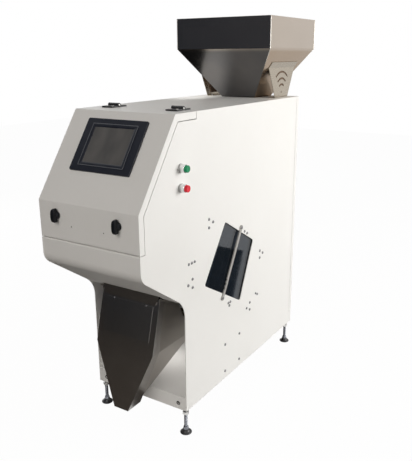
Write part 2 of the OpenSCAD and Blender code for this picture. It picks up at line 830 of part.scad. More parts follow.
// Stainless collecting hopper: upright walls, sloping floor to the spout and a drop for rejects behind
module outlet_hopper() {
    slide_y = split_y - 8;
    reject_y = 290;
    // The slide leans the same inside and outside, 3 thick measured level
    fall = (slide_y + 45) / (taper_z - neck_z);
    placed() color(dark_steel) difference() {
        union() {
            for (x = [-outlet_half, outlet_half - sheet]) across(x, x + sheet)
                polygon([[cover_y(taper_z) + 3, taper_z], [reject_y, taper_z], [reject_y, taper_z + 42],
                    [262, taper_z + 60], [100, taper_z + 74], [60, deck_z - 16], [30, deck_z],
                    [cover_y(deck_z) + 8, deck_z]]);
            for (x = [-outlet_half - 28, outlet_half])
                box([x, -20, deck_z - sheet], [x + 28, 30, deck_z]);
            box([-outlet_half, reject_y - sheet, taper_z], [outlet_half, reject_y, taper_z + 42]);
            difference() {
                hull() {
                    level(outlet_half, cover_y(taper_z) + 3, slide_y, taper_z);
                    level(taper(neck_z), cover_y(neck_z) + 3, -45, neck_z);
                }
                hull() {
                    level(outlet_half - sheet, cover_y(taper_z) - 9, slide_y - 3 + fall, taper_z + 1);
                    level(taper(neck_z - 1) - 2.2, cover_y(neck_z - 1) - 9, -48 - fall, neck_z - 1);
                }
            }
        }
        pin_x(-outlet_half - 1, outlet_half + 1, split_y, split_z, 5.06);
    }
}

// Stainless front of the outlet with side flanges, ending in the spout
module outlet_front() {
    t = 1.5;
    hw = outlet_half + t;
    end = taper(spout_z) + t + 0.4;
    lip = deck_z - 15;
    placed() color(dark_steel) {
        difference() {
            union() {
                hull() {
                    level(hw, cover_y(deck_z - 3), cover_y(deck_z - 3) + 26, deck_z - 3);
                    level(hw, cover_bend[0], cover_bend[0] + 37, cover_bend[1]);
                }
                hull() {
                    level(hw, cover_bend[0], cover_bend[0] + 37, cover_bend[1]);
                    level(end, cover_end[0], -43, spout_z);
                }
            }
            hull() {
                level(outlet_half, cover_y(deck_z) + t, cover_y(deck_z) + 60, deck_z);
                level(outlet_half, cover_bend[0] + t, cover_bend[0] + 60, cover_bend[1] - 0.1);
            }
            hull() {
                level(outlet_half + 0.4, cover_bend[0] + t, -20, cover_bend[1]);
                level(taper(neck_z - 2) + 0.4, cover_y(neck_z - 2) + t, -20, neck_z - 2);
            }
            hull() {
                level(taper(neck_z - 1) + 0.4, cover_y(neck_z - 1) + t, -44.5, neck_z - 1);
                level(taper(spout_z - 1) + 0.4, cover_y(spout_z - 1) + t, -44.5, spout_z - 1);
            }
            for (p = outlet_screws)
                translate([p[0], cover_y(p[1]), p[1]]) rotate([cover_lean, 0, 0]) pin_y(-2, 4, 0, 0, bore_r);
        }
        // Folded lip that covers the joint to the underside
        hull() {
            level(outlet_half - 1, cover_y(lip + 16) - 3, cover_y(lip + 16) + 0.5, lip + 32);
            level(outlet_half - 12, cover_y(lip) - 3, cover_y(lip) + 0.5, lip);
        }
    }
}

// Swinging splitter between good grain and rejects, with its shaft and lever
module splitter() {
    placed() color(steel) translate([0, split_y, split_z]) {
        pin_x(-outlet_half - 6, outlet_half + 16, 0, 0, 5);
        rotate([-tilt, 0, 0]) box([-outlet_half + 4, -1.5, 0], [outlet_half - 4, 1.5, 45]);
        rotate([-tilt, 0, 0]) box([outlet_half + 8, -6, -40], [outlet_half + 14, 6, 6]);
    }
}

// Upright plate at the back with the electric units on it
module electrics_plate() {
    placed() color(grey) {
        box([-inner, plate_y, plate_low], [inner, plate_y + sheet, plate_high]);
        for (x = [-inner, inner - 2])
            box([x, plate_y, plate_low], [x + 2, plate_y + 25, plate_high]);
    }
}

module power_supply() {
    placed() color(steel)
        box([-half + 30, plate_y + sheet, plate_high - 240], [-half + 140, plate_y + 52, plate_high - 30]);
}

module control_unit() {
    placed() color(black)
        box([-half + 165, plate_y + sheet, plate_high - 350], [half - 30, plate_y + 42, plate_high - 30]);
}

// Air filter on its bracket at the right panel
module air_filter() {
    placed() color(grey) {
        box([inner - 3, 247, 84], [inner, 374, 150]);
        box([inner - 55, 282, 108], [inner - 2, 342, 150]);
        translate([inner - 29, 312, 58]) cylinder(r = 20, h = 51);
    }
}

// Levelling foot: stud and pad in one piece
module foot(x, y) {
    placed() color(steel) translate([x, y, -foot_h]) {
        rotate_extrude()
            polygon([[0, 0], [pad_r, 0], [pad_r, 3.5], [15, 6.5], [11.5, 11], [9.5, 17], [8.5, 25], [0, 25]]);
        translate([0, 0, 20]) cylinder(r = stud_r, h = foot_h + 8);
    }
}

module foot_front_left() {
    foot(-foot_x, foot_y[0]);
}

module foot_front_right() {
    foot(foot_x, foot_y[0]);
}

module foot_rear_left() {
    foot(-foot_x, foot_y[1]);
}

module foot_rear_right() {
    foot(foot_x, foot_y[1]);
}

module foot_nuts() {
    placed() color(steel) for (s = [-1, 1], y = foot_y) translate([s * foot_x, y, -22]) difference() {
        cylinder(r = 11, h = 11, $fn = 6);
        translate([0, 0, -1]) cylinder(r = stud_r + stud_play, h = 13);
    }
}

// Rear door: a flat pan that wraps round both sides, with rows of air slots
module rear_door() {
    placed() color(paint) difference() {
        union() {
            box([-half, body_rear - sheet, base_h + 3], [half, body_rear, body_h - 1]);
            for (s = [-1, 1])
                box([s * (half - sheet / 2) - sheet / 2, body_rear - door_wrap, base_h + 3],
                    [s * (half - sheet / 2) + sheet / 2, body_rear, body_h - 1]);
        }
        for (z0 = [110, 640], k = [0 : 7], x = [-75, 75])
            box([x - 45, body_rear - 5, z0 + 18 * k], [x + 45, body_rear + 1, z0 + 18 * k + 6]);
        pin_y(body_rear - 5, body_rear + 1, door_latch_x, door_latch_z, 5.06);
    }
}

// Fixed halves of the rear door hinges, each with its pin
module door_hinge_fixed() {
    placed() color(steel) for (z = door_hinge_z) {
        box([-half - 2, back - 34, z - 30], [-half, back - 3.2, z + 30]);
        box([-half - 4, back - 6, z - 30], [-half - 1, back - 0.6, z]);
        translate([door_axis[0], door_axis[1], z - 30]) cylinder(r = 6, h = 30);
        translate([door_axis[0], door_axis[1], z - 1]) cylinder(r = 3, h = 29);
    }
}

// Moving halves of the rear door hinges
module door_hinge_leaves() {
    placed() color(steel) for (z = door_hinge_z) difference() {
        union() {
            box([-half - 2, back + groove + 0.6, z + 0.4], [-half, body_rear - 2, z + 30]);
            translate([door_axis[0], door_axis[1], z + 0.4]) cylinder(r = 6, h = 29.6);
            box([-half - 5, back + groove + 0.6, z + 0.4], [-half - 1, back + groove + 4, z + 30]);
        }
        translate([door_axis[0], door_axis[1], z - 1]) cylinder(r = 3.06, h = 32);
    }
}

// Wing knob of the rear door; its cam points up when released
module door_latch() {
    placed() color(black) translate([door_latch_x, body_rear, door_latch_z]) {
        pin_y(0.4, 9, 0, 0, 14);
        translate([0, 8, 0]) rotate([-90, 0, 0]) linear_extrude(16)
            polygon(rounded_loop([[-7, -wing / 2], [7, -wing / 2], [7, wing / 2], [-7, wing / 2]], 5));
        pin_y(-door_cam, 10, 0, 0, 5);
        box([-9, -door_cam, -9], [9, -door_cam + 5, 32]);
    }
}

base_tray();
left_side_panel();
right_side_panel();
front_apron();
top_cover();
box_spacers();
panel_screws();
hood_hinge_bodies();
hood_hinge_pins();
button_bezels();
contact_blocks();
window_pane();
window_gasket();
window_strap();
hopper();
hopper_bracket_left();
hopper_bracket_right();
feeder_shelf();
feeder_mounts();
feeder_base();
feeder_magnet();
chute();
chute_bars();
front_vision_box();
rear_vision_box();
vision_glasses();
cameras();
lamps();
ejector_manifold();
ejector_valves();
outlet_hopper();
outlet_front();
electrics_plate();
power_supply();
control_unit();
air_filter();
foot_nuts();
door_hinge_fixed();
hood_shell();
hood_hinge_leaves();
screen_bezel();
screen_glass();
screen_housing();
latch_bases();
latch_left();
latch_right();
start_button();
stop_button();
feeder_tray();
feeder_springs();
splitter();
rear_door();
door_hinge_leaves();
door_latch();
foot_front_left();
foot_front_right();
foot_rear_left();
foot_rear_right();
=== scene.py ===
# %% [markdown]
# A compact optical colour sorter, dressed for a studio picture.
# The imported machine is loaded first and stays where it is. Everything after that either gives one
# of its parts a finish, or models a finer piece that stands in the same place.

# %% Load the machine
import json
import math

import bmesh
import bpy
from mathutils import Matrix, Vector


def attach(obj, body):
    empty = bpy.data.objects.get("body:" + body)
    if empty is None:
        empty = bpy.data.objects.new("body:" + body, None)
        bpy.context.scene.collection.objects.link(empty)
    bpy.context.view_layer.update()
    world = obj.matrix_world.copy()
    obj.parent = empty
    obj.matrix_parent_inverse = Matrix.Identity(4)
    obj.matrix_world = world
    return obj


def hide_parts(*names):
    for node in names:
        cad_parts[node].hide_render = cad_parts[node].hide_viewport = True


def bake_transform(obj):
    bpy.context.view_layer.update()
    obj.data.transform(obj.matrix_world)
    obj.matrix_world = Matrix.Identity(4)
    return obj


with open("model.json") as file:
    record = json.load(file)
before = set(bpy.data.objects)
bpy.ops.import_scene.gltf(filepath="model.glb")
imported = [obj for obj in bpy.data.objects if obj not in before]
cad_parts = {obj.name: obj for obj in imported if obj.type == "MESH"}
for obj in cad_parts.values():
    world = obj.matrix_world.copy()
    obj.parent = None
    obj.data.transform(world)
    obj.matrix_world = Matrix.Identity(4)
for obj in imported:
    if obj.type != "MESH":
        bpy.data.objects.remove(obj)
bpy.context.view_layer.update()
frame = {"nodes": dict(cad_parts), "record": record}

# %% [markdown]
# The drawings of the cabinet count millimetres from the front edge of the legs and from the
# underside of the side panels. Blender counts metres from the floor under the middle of the machine.
# One small function goes from the first to the second, so that sizes below can stay in millimetres.

# %% Cabinet sizes
FRONT_TO_MIDDLE = 357.0
FOOT_HEIGHT = 95.0
HALF = 195.0
NOSE = -218.0
REAR = 845.0
TOP = 1000.0
FOLD = 740.0
HOPPER_MIDDLE = 757.0


def at(x, y, z):
    """A place in the cabinet, given in millimetres, as a point of the scene."""
    return Vector((x, y - FRONT_TO_MIDDLE, z + FOOT_HEIGHT)) / 1000


print("nose corner", at(HALF, NOSE, FOLD))

# %% [markdown]
# The camera stands to the right of the machine and a little above its middle. Its place and lens
# were found by fitting corners of the cabinet to the photograph, so they are only repeated here.
# A rotation matrix is written from three directions: to the right, up, and back out of the lens.

# %% Camera
IMAGE_TALL = 461
SENSOR = 36
FOCAL_PIXELS = 586.83
AZIMUTH, ELEVATION, ROLL = (math.radians(d) for d in (32.275, 16.646, -0.280))
EYE = Vector((1.1803, -1.7885, 1.2573))

back = Vector((math.sin(AZIMUTH) * math.cos(ELEVATION), -math.cos(AZIMUTH) * math.cos(ELEVATION),
               math.sin(ELEVATION)))
level = Vector((0, 0, 1)).cross(back).normalized()
above = back.cross(level)
right = math.cos(ROLL) * level + math.sin(ROLL) * above
up = math.cos(ROLL) * above - math.sin(ROLL) * level
camera = bpy.data.objects.new("camera", bpy.data.cameras.new("camera"))
bpy.context.scene.collection.objects.link(camera)
camera.data.sensor_width = SENSOR
camera.data.lens = FOCAL_PIXELS * SENSOR / IMAGE_TALL
camera.matrix_world = Matrix.Translation(EYE) @ Matrix((right, up, back)).transposed().to_4x4()
bpy.context.scene.camera = camera
bpy.context.scene.view_settings.view_transform = "Standard"
print("lens", round(camera.data.lens, 2))

# %% [markdown]
# Finishes are node trees. Writing every Math node by hand hides the idea, so a socket is wrapped in a
# small class and ordinary arithmetic on it adds the nodes.

# %% Shader arithmetic


def plug(tree, place, value):
    """Sets a socket to a number or colour, or links it."""
    if isinstance(value, Wire):
        tree.links.new(value.socket, place)
    else:
        place.default_value = value


class Wire:
    """An output socket that takes part in arithmetic."""

    def __init__(self, tree, socket):
        self.tree, self.socket = tree, socket

    def combine(self, operation, first, second):
        node = self.tree.nodes.new("ShaderNodeMath")
        node.operation = operation
        plug(self.tree, node.inputs[0], first)
        plug(self.tree, node.inputs[1], second)
        return Wire(self.tree, node.outputs[0])

    def __add__(self, other):
        return self.combine("ADD", self, other)

    def __radd__(self, other):
        return self.combine("ADD", other, self)

    def __sub__(self, other):
        return self.combine("SUBTRACT", self, other)

    def __mul__(self, other):
        return self.combine("MULTIPLY", self, other)

    def __rmul__(self, other):
        return self.combine("MULTIPLY", other, self)


print("shader arithmetic ready")

# %% [markdown]
# A second class holds one material. It has one method for any node, and a few for what finishes
# share: cloudy noise, a change with height or facing, and small bumps over slightly eased edges.

# %% Materials
EDGE_RADIUS = 0.0007


class Finish:
    """One material. Constants go straight on the shader, everything else comes from node()."""

    def __init__(self, name, constants):
        self.material = bpy.data.materials.new(name)
        self.material.use_nodes = True
        self.tree = self.material.node_tree
        self.shader = self.tree.nodes["Principled BSDF"]
        for socket, value in constants.items():
            self.shader.inputs[socket].default_value = value

    def node(self, kind, settings={}, sockets={}, output=0):
        node = self.tree.nodes.new(kind)
        for key, value in settings.items():
            setattr(node, key, value)
        for key, value in sockets.items():
            plug(self.tree, node.inputs[key], value)
        return Wire(self.tree, node.outputs[output])

    def feed(self, socket, value):
        plug(self.tree, self.shader.inputs[socket], value)

    def noise(self, scale, detail, stretch=(1, 1, 1)):
        """Cloudy value about 0.5 with features of 1 / scale metres, stretched along an axis."""
        place = self.node("ShaderNodeTexCoord", output="Object")
        place = self.node("ShaderNodeMapping", {}, {"Vector": place, "Scale": stretch})
        return self.node("ShaderNodeTexNoise", {},
                         {"Vector": place, "Scale": scale, "Detail": detail})

    def height(self, low, high):
        """Share that rises from 0 to 1 between two heights in metres."""
        place = self.node("ShaderNodeTexCoord", output="Object")
        rise = self.node("ShaderNodeSeparateXYZ", {}, {0: place}, "Z")
        return self.node("ShaderNodeMapRange", {}, {0: rise, 1: low, 2: high})

    def sideways(self):
        """Share that is 1 on faces that look left or right and 0 on those to front or back."""
        facing = self.node("ShaderNodeTexCoord", output="Normal")
        across = self.node("ShaderNodeSeparateXYZ", {}, {0: facing}, "X")
        return self.node("ShaderNodeMapRange", {}, {0: across * across, 1: 0.2, 2: 0.4})

    def blend(self, share, first, second):
        """Colour between two others."""
        return self.node("ShaderNodeMix", {"data_type": "RGBA"}, {0: share, 6: first, 7: second}, 2)

    def surface(self, height, distance, edge=EDGE_RADIUS):
        """Bumps of a height in metres over edges that are eased by a small radius."""
        eased = self.node("ShaderNodeBevel", {"samples": 4}, {"Radius": edge})
        bump = self.node("ShaderNodeBump", {}, {"Strength": 1.0, "Distance": distance,
                                                "Height": height, "Normal": eased})
        self.feed("Normal", bump)

    def mix_in(self, share, other):
        """Mixes another shader with the main one by a share."""
        main = Wire(self.tree, self.shader.outputs[0])
        both = self.node("ShaderNodeMixShader", {}, {0: share, 1: main, 2: other})
        plug(self.tree, self.tree.nodes["Material Output"].inputs["Surface"], both)


print("materials ready")

# %% [markdown]
# White powder coat covers the cabinet. It is a melted plastic skin: very slightly uneven in tone, with
# a fine orange-peel surface of about a millimetre and a half, and it is a little duller where hands
# and dust have been. Flat white would look like paper, so tone, gloss and surface all vary a little.

# %% Powder coat
CLOUDS, DUST, PEEL = 5.0, 60.0, 620.0
PEEL_HEIGHT = 0.00006


def powder_coat(name, colour, shaded, gloss):
    coat = Finish(name, {"IOR": 1.48, "Coat Roughness": 0.22})
    clouds = coat.noise(CLOUDS, 3.0)
    dust = coat.noise(DUST, 4.0)
    coat.feed("Base Color", coat.blend(clouds * 0.7 + dust * 0.3, shaded, colour))
    coat.feed("Roughness", gloss + dust * 0.14 - 0.07 + clouds * 0.06)
    coat.feed("Coat Weight", 0.10 + clouds * 0.1)
    coat.surface(coat.noise(PEEL, 1.0) + 0.25 * dust, PEEL_HEIGHT)
    return coat.material


white_coat = powder_coat("white_powder_coat", (0.87, 0.867, 0.852, 1), (0.815, 0.81, 0.79, 1), 0.36)
dark_coat = powder_coat("dark_enamel", (0.05, 0.052, 0.056, 1), (0.035, 0.035, 0.038, 1), 0.45)
print("powder coats ready")

# %% [markdown]
# Stainless sheet is brushed in one direction. The streaks are noise that is stretched many times along
# the brushing, and they change gloss much more than colour. Broad stains come from handling. Below the
# box, the funnel of the hopper carries painted reflection and shade: a dark blue-grey tint on its front
# and back and a brown one on its sides, so its colour changes with height and facing.

# %% Brushed sheet
STREAKS, FINE_STREAKS, STAINS = 9.0, 40.0, 7.0
BRUSH_DEPTH = 0.000008
LEVEL_GRAIN = (1.0, 1.0, 45.0)
UPRIGHT_GRAIN = (45.0, 45.0, 1.0)
EVEN = (3.0, 3.0, 3.0)
# Painted reflection and shade on the funnel: tints for its front and sides, and the heights in metres
# between which they fade out
FUNNEL_PAINTED_REFLECTION = ((0.13, 0.135, 0.145, 1), (0.30, 0.21, 0.13, 1), 1.268, 1.284)


def brushed(name, colour, dull, gloss, stretch, stain=0.5, lower=None):
    sheet = Finish(name, {"Metallic": 1.0})
    streaks = sheet.noise(STREAKS, 5.0, stretch)
    fine = sheet.noise(FINE_STREAKS, 3.0, stretch)
    stains = sheet.noise(STAINS, 4.0)
    tone = sheet.blend(streaks * (1 - stain) + stains * stain, dull, colour)
    # The funnel's painted reflection and shade: a tint by facing that takes over below a height
    if lower:
        front, side, bottom, top = lower
        tint = sheet.blend(sheet.sideways(), front, side)
        tone = sheet.blend(sheet.height(bottom, top), sheet.blend(stains * 0.3, tint, tone), tone)
    sheet.feed("Base Color", tone)
    sheet.feed("Roughness", gloss - 0.07 + streaks * 0.08 + stains * 0.06)
    sheet.surface(streaks * 0.6 + fine * 0.4, BRUSH_DEPTH)
    return sheet.material


sheet_steel = brushed("brushed_sheet_steel", (0.42, 0.37, 0.30, 1), (0.355, 0.31, 0.25, 1), 0.27,
                      LEVEL_GRAIN, 0.6)
hopper_steel = brushed("brushed_hopper_steel", (0.50, 0.435, 0.37, 1), (0.43, 0.37, 0.31, 1), 0.19,
                       LEVEL_GRAIN, 0.6, FUNNEL_PAINTED_REFLECTION)
outlet_steel = brushed("brushed_outlet_steel", (0.40, 0.385, 0.37, 1), (0.30, 0.285, 0.27, 1), 0.30,
                       UPRIGHT_GRAIN, 0.7)
slide_steel = brushed("brushed_slide_steel", (0.47, 0.445, 0.42, 1), (0.37, 0.35, 0.325, 1), 0.32,
                      UPRIGHT_GRAIN, 0.7)
zinc_plate = brushed("bright_zinc", (0.72, 0.72, 0.70, 1), (0.56, 0.55, 0.52, 1), 0.28, EVEN, 0.8)
screw_steel = brushed("screw_steel", (0.22, 0.22, 0.225, 1), (0.13, 0.13, 0.135, 1), 0.30, EVEN, 0.8)
stud_steel = brushed("stud_steel", (0.27, 0.28, 0.31, 1), (0.17, 0.175, 0.19, 1), 0.22, EVEN, 0.8)
chrome_plate = brushed("chrome_plate", (0.78, 0.78, 0.78, 1), (0.66, 0.66, 0.66, 1), 0.16, EVEN, 0.8)
# Weld beads, paler than the sheet, which paints the highlight along the hopper's corners
weld_and_painted_highlight = brushed("weld_bead_painted_highlight", (0.74, 0.71, 0.67, 1), (0.56, 0.53, 0.49, 1), 0.34, EVEN, 0.8)
satin_aluminium = brushed("satin_aluminium", (0.66, 0.66, 0.67, 1), (0.54, 0.54, 0.55, 1), 0.38,
                          LEVEL_GRAIN)
print("metals ready")

# %% [markdown]
# Mouldings, rubber and iron castings are plain colours with a grained skin. The grain is a fine noise
# in the surface, and the gloss wanders a little so that highlights break up as they do on real parts.

# %% Mouldings, rubber and castings
WEAR = 30.0
WORN_PALER, WORN_LIFT = 1.25, 0.006
MOULDED_EDGE = 0.0005


def moulded(name, colour, gloss, grain_size, grain_height, coat=0.0, shine=0.5):
    skin = Finish(name, {"Coat Roughness": 0.1, "Specular IOR Level": shine})
    worn = skin.noise(WEAR, 4.0)
    pale = tuple(min(1, c * WORN_PALER + WORN_LIFT) for c in colour[:3]) + (1,)
    skin.feed("Base Color", skin.blend(worn, colour, pale))
    skin.feed("Roughness", gloss - 0.06 + worn * 0.12)
    skin.feed("Coat Weight", coat * (0.7 + worn * 0.6))
    skin.surface(skin.noise(grain_size, 2.0), grain_height, MOULDED_EDGE)
    return skin.material


black_moulding = moulded("black_moulding", (0.012, 0.012, 0.014, 1), 0.38, 900, 0.00005)
knob_moulding = moulded("knob_moulding", (0.004, 0.005, 0.008, 1), 0.42, 900, 0.00004, shine=0.2)
# Painted highlight: a paler ring along the edge of the screen's inner frame
painted_highlight_rim = moulded("screen_rim_painted_highlight", (0.115, 0.125, 0.14, 1), 0.30, 1400, 0.00002)
bezel_moulding = moulded("screen_bezel_moulding", (0.004, 0.006, 0.014, 1), 0.30, 1400, 0.00002)
grey_moulding = moulded("grey_moulding", (0.42, 0.42, 0.41, 1), 0.42, 900, 0.00004)
pale_moulding = moulded("pale_moulding", (0.62, 0.61, 0.58, 1), 0.40, 900, 0.00003)
strap_moulding = moulded("strap_moulding", (0.31, 0.30, 0.285, 1), 0.42, 900, 0.00003)
green_cap = moulded("green_cap", (0.003, 0.215, 0.085, 1), 0.34, 700, 0.00002, 0.04, 0.18)
red_cap = moulded("red_cap", (0.62, 0.020, 0.034, 1), 0.34, 700, 0.00002, 0.04, 0.18)
lamp_cover = moulded("lamp_cover", (0.55, 0.58, 0.60, 1), 0.35, 400, 0.00002)
# Painted shade: the dark brown of the sheet behind the bracket slots
painted_shade_brown = moulded("painted_shade_brown", (0.10, 0.062, 0.038, 1), 0.85, 350, 0.00020)
black_rubber = moulded("black_rubber", (0.015, 0.015, 0.015, 1), 0.62, 500, 0.00008)
cast_iron = moulded("painted_iron", (0.10, 0.11, 0.12, 1), 0.50, 260, 0.00020)
print("mouldings ready")

# %% [markdown]
# Two kinds of glass are on the machine. The side window is a smoked pane: it is mixed from a clear part
# that lets dark tinted light through and a glossy face. The screen is off, so its face is a dark sheet
# under a satin film, with paler cloudy smears across it, which are a painted reflection.

# %% Glass
CLEAR_TINT = (0.60, 0.66, 0.74, 1)


def smoked_glass(name, tint, see_through):
    pane = Finish(name, {"Base Color": tint, "IOR": 2.7})
    smears = pane.noise(14.0, 4.0)
    pane.feed("Roughness", 0.02 + smears * 0.05)
    pane.mix_in(see_through, pane.node("ShaderNodeBsdfTransparent", {}, {"Color": CLEAR_TINT}))
    return pane.material


def screen_with_painted_reflection(name, dark, painted_reflection_colour, stretch):
    screen = Finish(name, {"Coat Roughness": 0.1})
    smears = screen.noise(10.0, 2.0, stretch)
    # Painted reflection: the smears blend the base colour towards a paler grey
    screen.feed("Base Color", screen.blend(smears, dark, painted_reflection_colour))
    screen.feed("Roughness", 0.14 + smears * 0.16)
    screen.feed("Coat Weight", 0.35 + smears * 0.3)
    return screen.material


window_tint = smoked_glass("smoked_window", (0.008, 0.016, 0.026, 1), 0.65)
screen_face = screen_with_painted_reflection("screen_face", (0.042, 0.044, 0.049, 1), (0.168, 0.160, 0.149, 1),
                           (1.6, 0.7, 0.7))
print("glass ready")

# %% [markdown]
# Each part of the machine names a slot in its record, and each slot gets one of the finishes. Parts that
# stay as they are only need this. A few differ from the others in their slot and are named one by one.

# %% Finish every part
FINISH_OF_SLOT = {
    "white_paint": white_coat, "dark_paint": dark_coat, "stainless": sheet_steel,
    "dark_stainless": outlet_steel, "zinc": zinc_plate, "chrome": chrome_plate, "iron": cast_iron,
    "aluminium": satin_aluminium, "black_plastic": black_moulding, "bezel_plastic": bezel_moulding,
    "grey_plastic": grey_moulding, "green_plastic": green_cap, "red_plastic": red_cap,
    "rubber": black_rubber, "window_glass": window_tint, "screen_glass": screen_face,
}
FINISH_OF_PART = {"cameras": black_moulding, "lamps": lamp_cover, "window_strap": strap_moulding,
                  "outlet_hopper": slide_steel}
slot_of = {part["node"]: part["material_slot"] for part in frame["record"]["subparts"]}
for name, part in frame["nodes"].items():
    finish = FINISH_OF_PART.get(name, FINISH_OF_SLOT[slot_of[name]])
    for place in part.material_slots:
        place.material = finish
print(len(frame["nodes"]), "parts finished")

# %% [markdown]
# The surround is plain white where it is seen: by the camera, in gloss and through glass. As a light it
# is only a weak warm glow, stronger at the horizon than overhead.

# %% Surround
WHITE = (1, 1, 1, 1)
WARM = (1.0, 0.97, 0.93, 1)
HORIZON_GLOW, HIGH_GLOW, HIGH = 0.21, 0.08, 0.8


def in_sight(tree):
    """Share that is 1 for rays from the camera, from gloss and through glass, and 0 for the rest."""
    rays = tree.nodes.new("ShaderNodeLightPath").outputs
    seen = (Wire(tree, rays["Is Camera Ray"]) + Wire(tree, rays["Is Glossy Ray"])
            + Wire(tree, rays["Is Transmission Ray"]))
    return seen.combine("MINIMUM", seen, 1.0)


def glow(tree, colour, strength):
    node = tree.nodes.new("ShaderNodeBackground")
    plug(tree, node.inputs["Color"], colour)
    plug(tree, node.inputs["Strength"], strength)
    return Wire(tree, node.outputs[0])


world = bpy.data.worlds.new("studio")
world.use_nodes = True
bpy.context.scene.world = world
tree = world.node_tree
way = tree.nodes.new("ShaderNodeSeparateXYZ")
tree.links.new(tree.nodes.new("ShaderNodeTexCoord").outputs["Generated"], way.inputs[0])
rise = tree.nodes.new("ShaderNodeMapRange")
plug(tree, rise.inputs["Value"], Wire(tree, way.outputs["Z"]))
for end, value in (("From Min", 0.0), ("From Max", HIGH),
                   ("To Min", HORIZON_GLOW), ("To Max", HIGH_GLOW)):
    rise.inputs[end].default_value = value
mix = tree.nodes.new("ShaderNodeMixShader")
plug(tree, mix.inputs[0], in_sight(tree))
plug(tree, mix.inputs[1], glow(tree, WARM, Wire(tree, rise.outputs["Result"])))
plug(tree, mix.inputs[2], glow(tree, WHITE, 1.0))
tree.links.new(mix.outputs[0], tree.nodes["World Output"].inputs["Surface"])
print("surround ready")

# %% [markdown]
# The floor is white to the eye in the same way, but it keeps a small share of its own shading, which is
# the soft shadow under the machine. To the light it is grey, so it throws only a little back up.

# %% Floor
FLOOR_SIZE = 16
FLOOR_WHITE, FLOOR_SHOWN = 1.03, 0.95
FLAT = (0, 0, 0)


def stage_plane(name, size, place, turn):
    bpy.ops.object.select_all(action="DESELECT")
    bpy.ops.mesh.primitive_plane_add(size=1, location=place, rotation=turn)
    plane = bpy.context.object
    plane.name = name
    plane.scale = (size[0], size[1], 1)
    bpy.ops.object.transform_apply(location=True, rotation=True, scale=True)
    return plane


floor = stage_plane("floor", (FLOOR_SIZE, FLOOR_SIZE), (0, 0, 0), FLAT)
pale = Finish("pale_floor", {"Base Color": (0.32, 0.31, 0.295, 1), "Roughness": 0.8,
                             "Specular IOR Level": 0.1})
own_light = pale.node("ShaderNodeEmission", {}, {"Color": WHITE, "Strength": FLOOR_WHITE})
pale.mix_in(in_sight(pale.tree) * FLOOR_SHOWN, own_light)
floor.data.materials.append(pale.material)
print("floor ready")

# %% [markdown]
# Bare steel and glass show whatever they face, so cards stand where they look: three above one another
# to the front left, one to the back left, and mats flat on the floor. The mat on the right has a slanted
# edge, which the window mirrors. The brown mat under the machine is a painted shadow of the floor there.
# They are only seen in reflections and take no light away.

# %% Cards for reflections
BLACK = (0, 0, 0, 1)


def dull_card(name, colour):
    return Finish(name, {"Base Color": colour, "Roughness": 1.0}).material


def lit_card(name, colour):
    return Finish(name, {"Base Color": BLACK, "Emission Color": colour,
                         "Emission Strength": 1.0}).material


card_black = dull_card("card_black", (0.020, 0.021, 0.023, 1))
card_grey = dull_card("card_grey", (0.055, 0.071, 0.107, 1))
card_taupe = lit_card("card_taupe", (0.27, 0.25, 0.23, 1))
card_dusk = lit_card("card_dusk", (0.10, 0.105, 0.12, 1))
card_brown = dull_card("card_brown", (0.085, 0.070, 0.058, 1))
FACING_FRONT = (math.radians(90), 0, math.radians(-31))
MAT_HEIGHT = 0.004
CARDS = (("front_card", (6.5, 0.6), (-1.75, -3.3, 0.3), FACING_FRONT, card_black),
         ("front_card_above", (6.5, 3.0), (-1.75, -3.3, 2.1), FACING_FRONT, card_grey),
         ("front_card_top", (6.5, 3.0), (-1.75, -3.3, 5.1), FACING_FRONT, card_dusk),
         ("back_card", (5.0, 2.6), (-1.9, 3.2, 1.3), FACING_FRONT, card_taupe),
         # Painted shadow: a dark mat under the machine, seen only in reflections
         ("under_mat", (0.40, 0.86), (0, 0.07, 0.003), FLAT, card_brown),
         ("left_mat", (2.2, 2.4), (-1.4, 0.5, MAT_HEIGHT), FLAT, card_black),
         ("front_mat", (5.0, 3.5), (-1.9, -2.2, MAT_HEIGHT), FLAT, card_brown),
         ("side_mat", (1.0, 1.0), (1.0, 1.0, MAT_HEIGHT), FLAT, card_black))
SIDE_MAT_CORNERS = ((0.519, 0.5), (1.5, 0.5), (0.976, 1.488), (1.5, 1.488))
cards = {}
for name, size, place, turn, finish in CARDS:
    card = cards[name] = stage_plane(name, size, place, turn)
    card.data.materials.append(finish)
    card.visible_camera = card.visible_diffuse = card.visible_shadow = False
for corner, (x, y) in zip(cards["side_mat"].data.vertices, SIDE_MAT_CORNERS):
    corner.co = (x, y, MAT_HEIGHT)
print(len(cards), "cards ready")

# %% [markdown]
# The large lamp is on the right, because the right side of the machine is bright and its front is in
# half shade. Weaker ones light the left side and the front, and two small ones the base, one inside it
# and one low in front. A narrow beam makes the bright patch on the top cover.

# %% Lamps
DAYLIGHT, SOFT_WARM, LOW_WARM = (1.0, 0.985, 0.96), (1.0, 0.955, 0.91), (1.0, 0.965, 0.93)


def lamp(name, kind, place, aim, watts, colour, **settings):
    made = bpy.data.objects.new(name, bpy.data.lights.new(name, kind))
    made.data.energy, made.data.color = watts, colour
    for key, value in settings.items():
        setattr(made.data, key, value)
    made.location = place
    made.rotation_mode = "QUATERNION"
    made.rotation_quaternion = (Vector(aim) - Vector(place)).to_track_quat("-Z", "Y")
    bpy.context.scene.collection.objects.link(made)
    return made


def area_lamp(name, place, aim, size, watts, colour):
    return lamp(name, "AREA", place, aim, watts, colour, shape="DISK", size=size)


